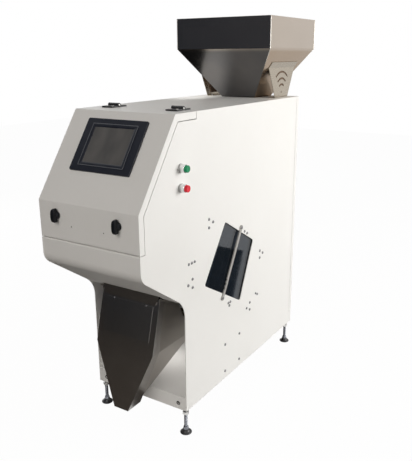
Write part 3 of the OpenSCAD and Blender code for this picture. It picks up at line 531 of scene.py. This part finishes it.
area_lamp("right_lamp", (3.4, 1.3, 1.7), (0, 0, 0.75), 2.6, 133, DAYLIGHT)
left_lamp = area_lamp("left_lamp", (-3.4, 0.6, 1.15), (-0.2, 0.1, 0.6), 1.6, 40, (1.0, 0.98, 0.95))
left_lamp.visible_glossy = False
area_lamp("front_lamp", (0.3, -3.1, 2.6), (0, 0, 0.4), 2.0, 42, SOFT_WARM)
base_lamp = area_lamp("base_lamp", (-0.02, -0.13, 0.295), (0.03, -0.22, 0.14), 0.12, 0.24, LOW_WARM)
base_lamp.visible_camera = base_lamp.visible_glossy = False
lamp("cover_beam", "SPOT", (-0.05, -2.0, 2.4), (-0.155, 0.26, 1.095), 400, DAYLIGHT,
     shadow_soft_size=0.04, spot_size=math.radians(4.0), spot_blend=0.40)
area_lamp("low_lamp", (0.2, -0.85, 0.10), (0.13, -0.35, 0.12), 0.3, 0.30, LOW_WARM)
print("lamps ready")

# %% [markdown]
# From here on, finer pieces are modelled. They are made as by hand: a primitive is added, shaped in edit
# mode, and finished with modifiers. These helpers only save repeating the same few operators.

# %% Helpers for edit mode
SMOOTH = 35
NEARLY = 0.9


def alone(piece):
    bpy.ops.object.select_all(action="DESELECT")
    piece.select_set(True)
    bpy.context.view_layer.objects.active = piece


def edit(piece):
    alone(piece)
    bpy.ops.object.mode_set(mode="EDIT")
    bpy.ops.mesh.select_mode(type="FACE")


def leave(piece, smooth=SMOOTH):
    bpy.ops.object.mode_set(mode="OBJECT")
    alone(piece)
    bpy.ops.object.shade_smooth_by_angle(angle=math.radians(smooth))
    return piece


def choose(piece, test):
    """Selects, in edit mode, the faces whose normal test accepts."""
    bpy.ops.mesh.select_all(action="DESELECT")
    shape = bmesh.from_edit_mesh(piece.data)
    for face in shape.faces:
        face.select_set(test(face.normal))
    bmesh.update_edit_mesh(piece.data)


def choose_edges(piece, test):
    """Selects, in edit mode, the edges whose two ends test accepts."""
    bpy.ops.mesh.select_mode(type="EDGE")
    bpy.ops.mesh.select_all(action="DESELECT")
    shape = bmesh.from_edit_mesh(piece.data)
    for edge in shape.edges:
        edge.select_set(test(edge.verts[0].co, edge.verts[1].co))
    bmesh.update_edit_mesh(piece.data)


def upward(normal):
    return normal.z > NEARLY


def push(piece, test, move, size=(1, 1, 1)):
    """Extrudes the faces that test accepts by move (mm) and scales their end about its own middle."""
    choose(piece, test)
    shape = bmesh.from_edit_mesh(piece.data)
    ends = [f.calc_center_median() for f in shape.faces if f.select]
    middle = sum(ends, Vector()) / len(ends) + Vector(move) / 1000
    bpy.ops.mesh.extrude_region_move(TRANSFORM_OT_translate={"value": Vector(move) / 1000})
    bpy.ops.transform.resize(value=size, center_override=middle)


print("edit helpers ready")

# %% [markdown]
# Most pieces start as a disc or a box. Round parts are pushed up ring by ring from one disc, as a potter
# would, so each ring keeps its own edge.

# %% Helpers for first shapes


def turned(name, rings, sides=36, smooth=SMOOTH):
    """A round piece about Z, pushed up from a disc through rings of (radius, height) in mm."""
    radius, height = rings[0]
    bpy.ops.object.select_all(action="DESELECT")
    bpy.ops.mesh.primitive_circle_add(vertices=sides, radius=radius / 1000, fill_type="NGON",
                                      location=(0, 0, 0))
    piece = bpy.context.object
    piece.name = name
    edit(piece)
    bpy.ops.mesh.select_all(action="SELECT")
    bpy.ops.transform.translate(value=(0, 0, height / 1000))
    for wide, high in rings[1:]:
        step = (0, 0, (high - height) / 1000)
        bpy.ops.mesh.extrude_region_move(TRANSFORM_OT_translate={"value": step})
        bpy.ops.transform.resize(value=(wide / radius, wide / radius, 1),
                                 center_override=(0, 0, high / 1000))
        radius, height = wide, high
    bpy.ops.mesh.select_all(action="SELECT")
    bpy.ops.mesh.normals_make_consistent(inside=False)
    return leave(piece, smooth)


def block(name, low, high):
    """A box between two corners in mm, left in edit mode."""
    low, high = Vector(low), Vector(high)
    bpy.ops.object.select_all(action="DESELECT")
    bpy.ops.mesh.primitive_cube_add(size=0.001, location=(0, 0, 0))
    piece = bpy.context.object
    piece.name = name
    edit(piece)
    bpy.ops.mesh.select_all(action="SELECT")
    bpy.ops.transform.resize(value=high - low, center_override=(0, 0, 0))
    bpy.ops.transform.translate(value=(low + high) / 2000)
    return piece


def slab(name, half, low, high):
    """A box about Z, from half its width and depth and between two heights, left in edit mode."""
    return block(name, (-half[0], -half[1], low), (half[0], half[1], high))


def merged_copy(part, name):
    """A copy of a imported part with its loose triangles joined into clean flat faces."""
    piece = bpy.data.objects.new(name, frame["nodes"][part].data.copy())
    bpy.context.scene.collection.objects.link(piece)
    edit(piece)
    bpy.ops.mesh.select_all(action="SELECT")
    bpy.ops.mesh.remove_doubles(threshold=0.000005)
    bpy.ops.mesh.dissolve_limited(angle_limit=math.radians(0.5))
    bpy.ops.object.mode_set(mode="OBJECT")
    return piece


print("shape helpers ready")

# %% [markdown]
# A shape is then finished with modifiers, copied, put in its place, and joined to others. The last step
# of every piece gives it a finish and the body it moves with, and hides the imported parts it stands for.

# %% Helpers for finishing pieces


def apply(piece, kind, **settings):
    """Adds a modifier and applies it."""
    alone(piece)
    made = piece.modifiers.new(kind.lower(), kind)
    for key, value in settings.items():
        setattr(made, key, value)
    bpy.ops.object.modifier_apply(modifier=made.name)
    return piece


def ease(piece, width, segments=2, angle=30):
    """Rounds the sharp edges of a piece by a width in mm and keeps the shading of flat faces flat."""
    apply(piece, "BEVEL", width=width / 1000, segments=segments, limit_method="ANGLE",
          angle_limit=math.radians(angle), use_clamp_overlap=True)
    bpy.ops.object.shade_smooth_by_angle(angle=math.radians(SMOOTH))
    return apply(piece, "WEIGHTED_NORMAL", keep_sharp=True, weight=100)


def cut(piece, tool):
    """Cuts a tool shape out of a piece and throws the tool away."""
    apply(piece, "BOOLEAN", operation="DIFFERENCE", object=tool, solver="EXACT")
    bpy.data.objects.remove(tool)
    return piece


def pose(piece, place, out, spin=0.0):
    """Moves a piece so that its Z axis points along out, with its origin at a place."""
    turn = Vector(out).to_track_quat("Z", "Y").to_matrix().to_4x4()
    piece.matrix_world = Matrix.Translation(place) @ turn @ Matrix.Rotation(spin, 4, "Z")
    alone(piece)
    bpy.ops.object.transform_apply(location=True, rotation=True, scale=True)
    return piece


def copy_of(piece, name):
    copy = piece.copy()
    copy.data = piece.data.copy()
    copy.name = name
    bpy.context.scene.collection.objects.link(copy)
    return copy


def drop(*spares):
    for spare in spares:
        bpy.data.objects.remove(spare)


def joined(name, pieces):
    bpy.ops.object.select_all(action="DESELECT")
    for piece in pieces:
        piece.select_set(True)
    bpy.context.view_layer.objects.active = pieces[0]
    bpy.ops.object.join()
    pieces[0].name = name
    return pieces[0]


def settle(piece, body, finish, slot, *parts):
    """Gives a finished piece its material and its body, and hides the parts it stands for."""
    piece.data.materials.clear()
    piece.data.materials.append(finish)
    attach(piece, body)
    if parts:
        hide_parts(*parts)
    print(piece.name, len(piece.data.polygons), "faces on", body)


TO_LEFT, TO_RIGHT, TO_FRONT, TO_BACK, TO_TOP = (
    (-1, 0, 0), (1, 0, 0), (0, -1, 0), (0, 1, 0), (0, 0, 1))
print("finishing helpers ready")

# %% [markdown]
# Button-head screws hold the panels. The places on the side panels follow the line that the grain falls
# along, which leans by thirty degrees, because the camera boxes behind the panels follow it too. Two
# smaller screws sit on the spout, whose face leans forward, and four on the feet of the hopper brackets.

# %% Places of the screws
LEAN = math.radians(30)
WINDOW_Y, WINDOW_Z = 300, 448
RING_RADIUS = 16.75
# Along the fall and behind it, from the middle of the window
BOX_SPOTS = [(-85, -216), (127, -231), (-85, 216), (127, 231)]
STRAP_ENDS, STRAP_TALL = (-131, 133), 4
# Depth and height on the right panel
SINGLE_SCREWS = [(25, 524), (42, 524), (59, 524), (493, 259), (507, 251), (278, 297), (292, 297),
                 (285, 285), (394, 540), (414, 528), (257, 139), (364, 139), (257, 30), (364, 30)]
BRACKET_X, BRACKET_TALL, BRACKET_SCREW = 143, 2, 40
SPOUT_Y, SPOUT_Z, SPOUT_REACH, SPOUT_FALL = -33, 400.4, 48, 178.4
SPOUT_SCREW_X, SPOUT_SCREW_Z = 67, 376.4
SPOUT_LEAN = math.atan2(SPOUT_REACH, SPOUT_FALL)
SPOUT_OUT = (0, -math.cos(SPOUT_LEAN), math.sin(SPOUT_LEAN))


def spot(down, behind):
    """Depth and height of a place on the side panels, from the middle of the window."""
    return (WINDOW_Y - down * math.sin(LEAN) + behind * math.cos(LEAN),
            WINDOW_Z - down * math.cos(LEAN) - behind * math.sin(LEAN))


def ring_of_three(down, behind):
    y, z = spot(down, behind)
    first = 0 if down < 0 else 180
    turns = [math.radians(first + 120 * k) for k in range(3)]
    return [(y + RING_RADIUS * math.cos(t), z + RING_RADIUS * math.sin(t)) for t in turns]


def spout_y(z):
    """Depth of the spout's face at a height."""
    return SPOUT_Y - (SPOUT_Z - z) * SPOUT_REACH / SPOUT_FALL


places = [(side * HALF, y, z, out) for side, out in ((-1, TO_LEFT), (1, TO_RIGHT))
          for box in BOX_SPOTS for y, z in ring_of_three(*box)]
places += [(HALF, y, z, TO_RIGHT) for y, z in SINGLE_SCREWS]
places += [(HALF + STRAP_TALL, *spot(down, 0), TO_RIGHT) for down in STRAP_ENDS]
small = [(side * BRACKET_X, HOPPER_MIDDLE + y, TOP + BRACKET_TALL, TO_TOP)
         for side in (-1, 1) for y in (-BRACKET_SCREW, BRACKET_SCREW)]
small += [(side * SPOUT_SCREW_X, spout_y(SPOUT_SCREW_Z), SPOUT_SCREW_Z, SPOUT_OUT) for side in (-1, 1)]
print(len(places), "screws and", len(small), "small ones")

# %% [markdown]
# Each screw has a low domed head and a six-sided socket. One is turned from a disc, the socket is cut
# with a hexagon, and every place gets a copy turned by its own angle, as screws are when they are driven
# by hand.

# %% Panel screws
HEAD, SMALL_HEAD = 5.2, 4.2
SHANK = 2.4
# Rings of the head: share of its radius, and height
DOME = ((1.0, 0), (1.0, 0.7), (0.94, 1.5), (0.79, 2.3), (0.60, 2.8), (0.48, 2.9))
SOCKET, SOCKET_FLOOR, SOCKET_END = 0.38, 1.2, 4.0
SPIN_STEP = 0.7


def screw_of(head):
    """A button-head screw about Z, whose head starts at the origin."""
    rings = [(SHANK, -SHANK), (SHANK, 0)] + [(head * out, up) for out, up in DOME]
    socket = [(head * SOCKET, SOCKET_FLOOR), (head * SOCKET, SOCKET_END)]
    body = turned("screw", rings, 24)
    return cut(body, turned("socket", socket, 6))


heads = []
for head, spots in ((HEAD, places), (SMALL_HEAD, small)):
    screw = screw_of(head)
    heads += [pose(copy_of(screw, "head"), at(x, y, z), out, SPIN_STEP * k)
              for k, (x, y, z, out) in enumerate(spots)]
    drop(screw)
settle(joined("screw_heads", heads), "machine", screw_steel, "zinc", "panel_screws")

# %% [markdown]
# Two wing knobs close the hood and one closes the rear door. A real one is a single black moulding: a
# round foot that flares on to the panel, and a wing that thins towards its tips. The wing starts as a
# block over the foot, its ends are pushed out and narrowed in steps, and a bevel rounds everything.
# The spindle and the cam behind the panel are part of the same moving piece.

# %% Wing knobs
KNOB_HUB = ((11.0, 0), (11.8, 0.8), (11.6, 3), (10.4, 6), (8, 9))
WING_HALF, WING_LOW, WING_HIGH = (6.8, 5), 1, 19
# Each step of a wing, from its middle: outward, down, and how much narrower and lower it gets
KNOB_WING = ((6.0, 0.36, 0.98, 0.96), (5.0, 0.69, 0.94, 0.92), (3.6, 1.11, 0.84, 0.86),
             (2.0, 1.78, 0.62, 0.74))
SPINDLE, SPINDLE_TIP = 5, 4.4
CAM_HALF, CAM_THICK = 9, 5
LATCH_X, LATCH_Z = 120, 700
LATCH_ROSETTE = [(5.6, -24), (11, -24), (11, -8), (15, -8), (15, -2.2), (11, -2.2), (11, 0), (12.6, 0),
                 (13, 0.6), (12.7, 2.6), (11.6, 3.4), (5.6, 3.4)]
DOOR_KNOB = at(157, REAR, 500)


def knob(name, foot, reach, cam_way):
    """A knob about Z, which points out of the panel: its foot, its depth behind, and its cam's way."""
    hub = turned(name + "_hub", [(out, foot + rise) for out, rise in KNOB_HUB])
    wing = slab(name + "_wing", WING_HALF, foot + WING_LOW, foot + WING_HIGH)
    for side in (-1, 1):
        for out, fall, thin, low in KNOB_WING:
            push(wing, lambda n: n.y * side > NEARLY, (0, out * side, -fall), (thin, 1, low))
    leave(wing)
    ease(wing, 2.8, 4, 25)
    spindle = turned(name + "_spindle", [(SPINDLE_TIP, -reach), (SPINDLE, -reach + 0.6),
                                         (SPINDLE, foot + WING_LOW)], 24)
    x, y = cam_way
    cam = block(name + "_cam", (min(-CAM_HALF, x), min(-CAM_HALF, y), -reach),
                (max(CAM_HALF, x), max(CAM_HALF, y), -reach + CAM_THICK))
    leave(cam)
    ease(cam, 1.0)
    return joined(name, [hub, wing, spindle, cam])


for side, name in ((-1, "latch_left"), (1, "latch_right")):
    piece = knob(name + "_knob", foot=3.8, reach=30, cam_way=(-45 * side, 0))
    pose(piece, at(LATCH_X * side, NOSE, LATCH_Z), TO_FRONT)
    settle(piece, name, knob_moulding, "black_plastic", name)
rosette = turned("rosette", LATCH_ROSETTE)
rosettes = [pose(copy_of(rosette, "rosette"), at(LATCH_X * side, NOSE, LATCH_Z), TO_FRONT)
            for side in (-1, 1)]
drop(rosette)
settle(joined("latch_rosettes", rosettes), "hood", knob_moulding, "black_plastic", "latch_bases")
piece = pose(knob("door_knob", foot=0.5, reach=36, cam_way=(0, 32)), DOOR_KNOB, TO_BACK)
settle(piece, "door_latch", knob_moulding, "black_plastic", "door_latch")

# %% [markdown]
# The push buttons are stacks of turned rings: a grey ring against the panel, a bright collar with a
# hollow front, and a coloured cap that slides into it. Ring and collar have different finishes, so they
# are separate pieces, and the cap rides on its own joint.

# %% Push buttons
BUTTONS = (("start_button", 840, green_cap, "green_plastic"),
           ("stop_button", 780, red_cap, "red_plastic"))
BUTTON_Y, BUTTON_SIDES = -12, 48
BUTTON_RING = [(11, -24.5), (11, -8.5), (15, -8.5), (15, -2.5), (11, -2.5), (11, 0), (14.2, 0),
               (14.5, 0.4), (14.5, 2.6), (14.0, 3.6), (12.6, 4.0), (12.2, 3.6)]
BUTTON_COLLAR = [(12.4, 2.6), (13, 4.1), (13, 17.8), (12.7, 18.9), (12.1, 19.4), (11.6, 19.2),
                 (11.4, 18.6), (11.4, 8), (6.2, 8)]
BUTTON_CAP = [(6, -20), (6, 13.9), (10.2, 14), (10.9, 14.5), (11, 15.4), (11, 26.6), (10.7, 27.9),
              (9.9, 28.7), (8.6, 29), (7.4, 28.7), (4, 28.4), (1.5, 28.3)]
ring = turned("ring", BUTTON_RING, BUTTON_SIDES)
collar = turned("collar", BUTTON_COLLAR, BUTTON_SIDES)
cap = turned("cap", BUTTON_CAP, BUTTON_SIDES)
rings, collars = [], []
for name, z, finish, slot in BUTTONS:
    place = at(HALF, BUTTON_Y, z)
    rings.append(pose(copy_of(ring, "ring"), place, TO_RIGHT))
    collars.append(pose(copy_of(collar, "collar"), place, TO_RIGHT))
    settle(pose(copy_of(cap, name + "_cap"), place, TO_RIGHT), name, finish, slot, name)
settle(joined("button_rings", rings), "machine", grey_moulding, "grey_plastic", "button_bezels")
settle(joined("button_collars", collars), "machine", chrome_plate, "chrome")
drop(ring, collar, cap)

# %% [markdown]
# Moulded and folded parts never have knife edges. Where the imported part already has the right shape, a
# merged copy of it gets a real bevel, which catches the light along its edges.

# %% Eased parts
EASED = (("hood_hinge_bodies", "machine", 1.0, black_moulding),
         ("hood_hinge_leaves", "hood", 1.0, black_moulding),
         ("window_strap", "machine", 0.7, strap_moulding),
         ("outlet_front", "machine", 0.6, outlet_steel))
for part, body, width, finish in EASED:
    piece = ease(merged_copy(part, part + "_eased"), width, 3)
    settle(piece, body, finish, slot_of[part], part)

# %% [markdown]
# The photo shows the faint edges of a plate on the spout, under two screws. It may close a hatch in the
# sheet. It is a thin block with its edges rounded, laid on the lean of the spout.

# %% Plate on the spout
PLATE_HALF, PLATE_LIFT, PLATE_THICK, PLATE_Z = (97, 60), 0.05, 1.0, 320
plate = slab("outlet_plate", PLATE_HALF, PLATE_LIFT, PLATE_THICK)
leave(plate)
ease(plate, 0.45, 3)
plate = pose(plate, at(0, spout_y(PLATE_Z), PLATE_Z), SPOUT_OUT)
settle(plate, "machine", outlet_steel, "dark_stainless")

# %% [markdown]
# The spout's side flanges end below the sloping underside of the nose, and a folded ear closes each
# corner. An ear is a thin block whose top is pushed up towards the front, along the underside.

# %% Ears of the spout
EAR_IN, EAR_OUT = 118.1, 119.4
EAR_FRONT, EAR_BACK, EAR_LOW, EAR_HIGH = -36, -6, 384, 395
EAR_PUSH, EAR_TIP = (0, -10.5, 14), (1, 0.3, 1)
ears = []
for side in (-1, 1):
    low, high = sorted((side * EAR_IN, side * EAR_OUT))
    ear = block("ear", 1000 * at(low, EAR_FRONT, EAR_LOW), 1000 * at(high, EAR_BACK, EAR_HIGH))
    push(ear, upward, EAR_PUSH, EAR_TIP)
    leave(ear)
    ears.append(ease(ear, 0.3))
settle(joined("outlet_ears", ears), "machine", outlet_steel, "dark_stainless")

# %% [markdown]
# The touch screen sits in a moulded frame: a flat dark border with tight corners, and a raised inner
# frame that holds the glass down and falls away towards it. The border is a block with its upright
# edges rounded and a pocket cut for the glass. The inner frame is a ring cut from a second block.

# %% Screen frame
SLOPE_TOP = -33
SCREEN_GAP = 31.6
BORDER, BORDER_TALL, BORDER_ROUND = (117, 89.5), 6, 0.005
PICTURE, POCKET_FLOOR, POCKET_END = (81, 63.5), 4, 9
INNER, INNER_LOW, INNER_HIGH = (88, 71.5), 6.05, 7.8
OPENING, OPENING_LOW, OPENING_HIGH = (76, 59.5), 5, 6.4
OPENING_RISE, OPENING_SPREAD = (0, 0, 2.6), (1.12, 1.15, 1)
slope = Vector((0, SLOPE_TOP - NOSE, TOP - FOLD))
middle = Vector((0, NOSE, FOLD)) + slope.normalized() * (slope.length - SCREEN_GAP - BORDER[1])
slope_out = (0, -slope.z, slope.y)
border = slab("border", BORDER, 0, BORDER_TALL)
choose_edges(border, lambda a, b: abs(a.z - b.z) > 0.001)
bpy.ops.mesh.bevel(offset=BORDER_ROUND, segments=6, affect="EDGES")
leave(border)
pocket = slab("pocket", PICTURE, POCKET_FLOOR, POCKET_END)
leave(pocket)
ease(cut(border, pocket), 1.2, 3)
inner = slab("inner", INNER, INNER_LOW, INNER_HIGH)
leave(inner)
opening = slab("opening", OPENING, OPENING_LOW, OPENING_HIGH)
push(opening, upward, OPENING_RISE, OPENING_SPREAD)
leave(opening)
ease(cut(inner, opening), 0.35, 2, 20)
screen_frame = pose(joined("screen_frame", [border, inner]), at(*middle), slope_out)
settle(screen_frame, "hood", bezel_moulding, "bezel_plastic", "screen_bezel")

# %% [markdown]
# The outer edge of the inner frame shows as a thin paler line, a painted highlight: a flat ring of its
# own finish.

# %% Screen rim
RIM_LOW, RIM_HIGH = 7.78, 7.98
RIM_INSIDE, RIM_CUT_LOW, RIM_CUT_HIGH = (85.8, 69.3), 7, 9
rim = slab("rim", INNER, RIM_LOW, RIM_HIGH)
leave(rim)
inside = slab("inside", RIM_INSIDE, RIM_CUT_LOW, RIM_CUT_HIGH)
leave(inside)
screen_rim = pose(ease(cut(rim, inside), 0.08), at(*middle), slope_out)
screen_rim.name = "screen_rim"
settle(screen_rim, "hood", painted_highlight_rim, "bezel_plastic")

# %% [markdown]
# Each hinge leaf is held by two countersunk screws under pale caps, which show as light dots on the
# black hinge. A cap is a shallow dome, turned once and copied to all eight places.

# %% Hinge screw caps
HINGE_X, HINGE_Y, HINGE_TALL = 128, 77.5, 5
CAP_ACROSS, CAP_ALONG = 12, 23
HINGE_CAP = [(3.6, -0.5), (3.6, 0.3), (3.2, 0.8), (2.2, 1.1), (0.8, 1.2)]
dot = turned("dot", HINGE_CAP, 24)
for body, y in (("machine", HINGE_Y + CAP_ALONG), ("hood", HINGE_Y - CAP_ALONG)):
    dots = [pose(copy_of(dot, "dot"), at(s * HINGE_X + k * CAP_ACROSS, y, TOP + HINGE_TALL), TO_TOP)
            for s in (-1, 1) for k in (-1, 1)]
    settle(joined("hinge_caps_" + body, dots), body, pale_moulding, "grey_plastic")
drop(dot)

# %% [markdown]
# A levelling foot is a threaded stud on a dished pad. The thread is a real helix: one tooth of its
# profile is drawn as an edge, and a Screw modifier winds it up the stud.

# %% Thread of the feet
PITCH, THREAD_STEPS = 1.75, 24
SAME = 0.00001


def thread(name, low, turns, radius, depth):
    """A helical thread about Z that starts at a height in mm."""
    bpy.ops.object.select_all(action="DESELECT")
    bpy.ops.mesh.primitive_circle_add(vertices=3, radius=0.001, fill_type="NOTHING",
                                      location=(0, 0, 0))
    piece = bpy.context.object
    piece.name = name
    tooth = [(radius - depth, 0), (radius, PITCH / 2), (radius - depth, PITCH)]
    for corner, (out, rise) in zip(piece.data.vertices, tooth):
        corner.co = (out / 1000, 0, (low + rise) / 1000)
    edit(piece)
    choose_edges(piece, lambda a, b: abs(a.x - b.x) < 1e-6)
    bpy.ops.mesh.delete(type="EDGE")
    bpy.ops.object.mode_set(mode="OBJECT")
    apply(piece, "SCREW", axis="Z", angle=2 * math.pi, screw_offset=PITCH / 1000, iterations=turns,
          steps=THREAD_STEPS, render_steps=THREAD_STEPS, use_merge_vertices=True,
          merge_threshold=SAME)
    edit(piece)
    bpy.ops.mesh.select_all(action="SELECT")
    bpy.ops.mesh.remove_doubles(threshold=SAME)
    bpy.ops.mesh.normals_make_consistent(inside=False)
    return leave(piece, 20)


stud = thread("stud", low=26, turns=42, radius=6.0, depth=1.05)
print("thread", len(stud.data.polygons), "faces")

# %% [markdown]
# The pad is turned: a dark cast dish that flares to the floor, with a bright neck in it. The lock nut is
# a hexagon with eased corners.

# %% Levelling feet
FEET = (("foot_front_left", -180, 16), ("foot_front_right", 180, 16),
        ("foot_rear_left", -180, 819), ("foot_rear_right", 180, 819))
STUD_CORE = [(4.9, 24), (4.9, 101), (4.2, 102.6), (3.0, 103)]
PAD_NECK = [(9.9, 14), (9.9, 16), (9.3, 17.6), (8.9, 20.5), (8.4, 23.2), (7.6, 24.6), (6.4, 25),
            (5.2, 25.1)]
PAD_DISH = [(19.4, 0), (20.3, 0.5), (20.5, 1.2), (20.5, 2.7), (20.1, 3.4), (17.8, 4.7), (15, 6.4),
            (13.1, 8.5), (11.5, 10.9), (10.6, 13.6), (10.0, 15.6), (9, 16)]
LOCK_NUT = [(9.6, -22), (11, -21.2), (11, -11.8), (9.6, -11), (6.2, -11)]
NUT_TURN = 0.4
core = turned("core", STUD_CORE, 24)
neck = turned("neck", PAD_NECK)
pad = turned("pad", PAD_DISH, 40)
for name, x, y in FEET:
    place = at(x, y, -FOOT_HEIGHT)
    steel = [pose(copy_of(piece, "steel"), place, TO_TOP) for piece in (stud, core, neck)]
    settle(joined(name + "_stud", steel), name, stud_steel, "chrome", name)
    settle(pose(copy_of(pad, name + "_pad"), place, TO_TOP), name, black_moulding, "iron")
nut = turned("nut", LOCK_NUT, 6, 20)
nuts = [pose(copy_of(nut, "nut"), at(x, y, 0), TO_TOP, NUT_TURN * k)
        for k, (name, x, y) in enumerate(FEET)]
settle(joined("lock_nuts", nuts), "machine", zinc_plate, "zinc", "foot_nuts")
drop(stud, core, neck, pad, nut)

# %% [markdown]
# The two holes in the front lip of the base are lined with black rubber grommets, which keep the edge of
# the sheet from cutting what passes through. Each is a turned ring with its bore cut out.

# %% Lip grommets
LIP_HOLE_IN, LIP_HOLE_Z = 34, 23
GROMMET = [(6.2, -0.4), (6.8, 0), (7.2, 0.5), (7.0, 1.2), (6.2, 1.7), (5.2, 1.6), (4.7, 1.2)]
GROMMET_BORE = [(4.4, -3), (4.4, 5)]
grommet = turned("grommet", GROMMET)
grommet = cut(grommet, turned("bore", GROMMET_BORE))
grommets = [pose(copy_of(grommet, "grommet"), at(s * (HALF - LIP_HOLE_IN), 0, LIP_HOLE_Z), TO_FRONT)
            for s in (-1, 1)]
drop(grommet)
settle(joined("lip_grommets", grommets), "machine", black_rubber, "rubber")

# %% [markdown]
# The hopper is folded from stainless sheet and welded along its corners. A merged copy of the packed
# hopper gets softer folds, and a weld bead runs down each corner: a row of overlapping ripples, which
# is a thin tube whose radius swells and shrinks along its length. The beads are paler than the sheet,
# which paints the highlight along each corner.

# %% Hopper and its welds
MOUTH, THROAT = 203.0, 74.0
RIM, BEND = 1297.0, 1184.0
RIPPLE, LEAST_RIPPLES = 0.006, 8
SQUEEZED, SWELL = 0.82, 0.18
FRONT_INSET, REAR_INSET, THROAT_INSET = 0.6, 1.5, 0.5
BEAD_END = 3
BOX_BEAD, FUNNEL_BEAD = 1.4, 1.2


def bead(name, start, end, radius):
    """A rippled weld bead between two places, made from a tube that is squeezed at every ripple."""
    length = (end - start).length
    ripples = max(LEAST_RIPPLES, int(length / RIPPLE))
    rings = [(radius * (SQUEEZED + SWELL * (k % 2)), 1000 * length * k / ripples)
             for k in range(ripples + 1)]
    return pose(turned(name, rings, 8, 60), start, end - start)


hopper = ease(merged_copy("hopper", "hopper_eased"), 0.9, 3)
settle(hopper, "machine", hopper_steel, "stainless", "hopper")
beads = []
for sx in (-1, 1):
    for sy, inset in ((-1, FRONT_INSET), (1, REAR_INSET)):
        corner = (sx * (MOUTH - FRONT_INSET), HOPPER_MIDDLE + sy * (MOUTH - inset))
        bend, rim = at(*corner, BEND), at(*corner, RIM - BEAD_END)
        low = at(sx * (THROAT - THROAT_INSET), HOPPER_MIDDLE + sy * (THROAT - THROAT_INSET),
                 TOP + BEAD_END)
        beads += [bead("bead", bend, rim, BOX_BEAD), bead("bead", low, bend, FUNNEL_BEAD)]
settle(joined("hopper_welds", beads), "machine", weld_and_painted_highlight, "stainless")

# %% [markdown]
# The arc slots of the hopper brackets look dark brown, because the funnel behind them is in shade. A
# dark brown sheet behind each bracket paints that shade: a thin block whose top is pushed up and widened,
# as the bracket widens.

# %% Painted shade behind the brackets
SHADE_SHEET_HALF, SHADE_SHEET_LOW, SHADE_SHEET_X = (0.6, 36), 1012, 153.2
SHADE_SHEET_RISE, SHADE_SHEET_SPREAD = (0, 0, 94), (1, 1.7, 1)
shade_sheet = slab("shade_sheet", SHADE_SHEET_HALF, SHADE_SHEET_LOW, SHADE_SHEET_LOW + 1)
push(shade_sheet, upward, SHADE_SHEET_RISE, SHADE_SHEET_SPREAD)
leave(shade_sheet)
ease(shade_sheet, 0.3)
shade_sheets = [pose(copy_of(shade_sheet, "shade_sheet"), at(s * SHADE_SHEET_X, HOPPER_MIDDLE, 0), TO_TOP)
           for s in (-1, 1)]
drop(shade_sheet)
settle(joined("bracket_painted_shade", shade_sheets), "machine", painted_shade_brown, "rubber")

# %% [markdown]
# The tray stands on two leaning leaf springs, clamped to the base below and to the tray above. Cut from
# spring steel, they bend when the magnet pulls. A copy of each leaf is divided along its length.

# %% Leaf springs
CLAMP_LOW, CLAMP_HIGH = 870.0, 918.0
SPRING_CUTS = 5
springs = merged_copy("feeder_springs", "leaf_springs")
edit(springs)
bpy.ops.mesh.select_all(action="SELECT")
bpy.ops.mesh.subdivide(number_cuts=SPRING_CUTS)
leave(springs)
springs.data.materials.clear()
springs.data.materials.append(sheet_steel)
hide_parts("feeder_springs")
at(0, HOPPER_MIDDLE, CLAMP_LOW)
at(0, HOPPER_MIDDLE, CLAMP_HIGH)
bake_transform(springs)
print(springs.name, len(springs.data.polygons), "faces between the base and the tray")

# %% [markdown]
# The rear door breathes through rows of louvres. Each is a slot with a pressed hood over it, which keeps
# dust out. One hood is pushed out of a block in two steps that draw it in, and copied over every slot.

# %% Rear door louvres
LOUVRE_LOW, LOUVRE_HIGH = (-48, -1.5, 0.1), (48, 10, 0.6)
# Each step of the hood: how far it moves, and how much it draws in
LOUVRE_STEPS = (((0, -0.6, 2.0), (0.985, 0.80, 1)), ((0, -0.8, 1.2), (0.98, 0.62, 1)))
LOUVRE_ROWS, LOUVRE_COUNT, LOUVRE_PITCH, LOUVRE_LIFT, LOUVRE_X = (110, 640), 8, 18, 3, 75
louvre = block("louvre", LOUVRE_LOW, LOUVRE_HIGH)
for move, size in LOUVRE_STEPS:
    push(louvre, upward, move, size)
leave(louvre)
ease(louvre, 0.6, 2, 20)
hoods = [pose(copy_of(louvre, "hood"), at(x, REAR, low + LOUVRE_PITCH * k + LOUVRE_LIFT), TO_BACK)
         for low in LOUVRE_ROWS for k in range(LOUVRE_COUNT) for x in (-LOUVRE_X, LOUVRE_X)]
drop(louvre)
settle(joined("door_louvres", hoods), "rear_door", white_coat, "white_paint")
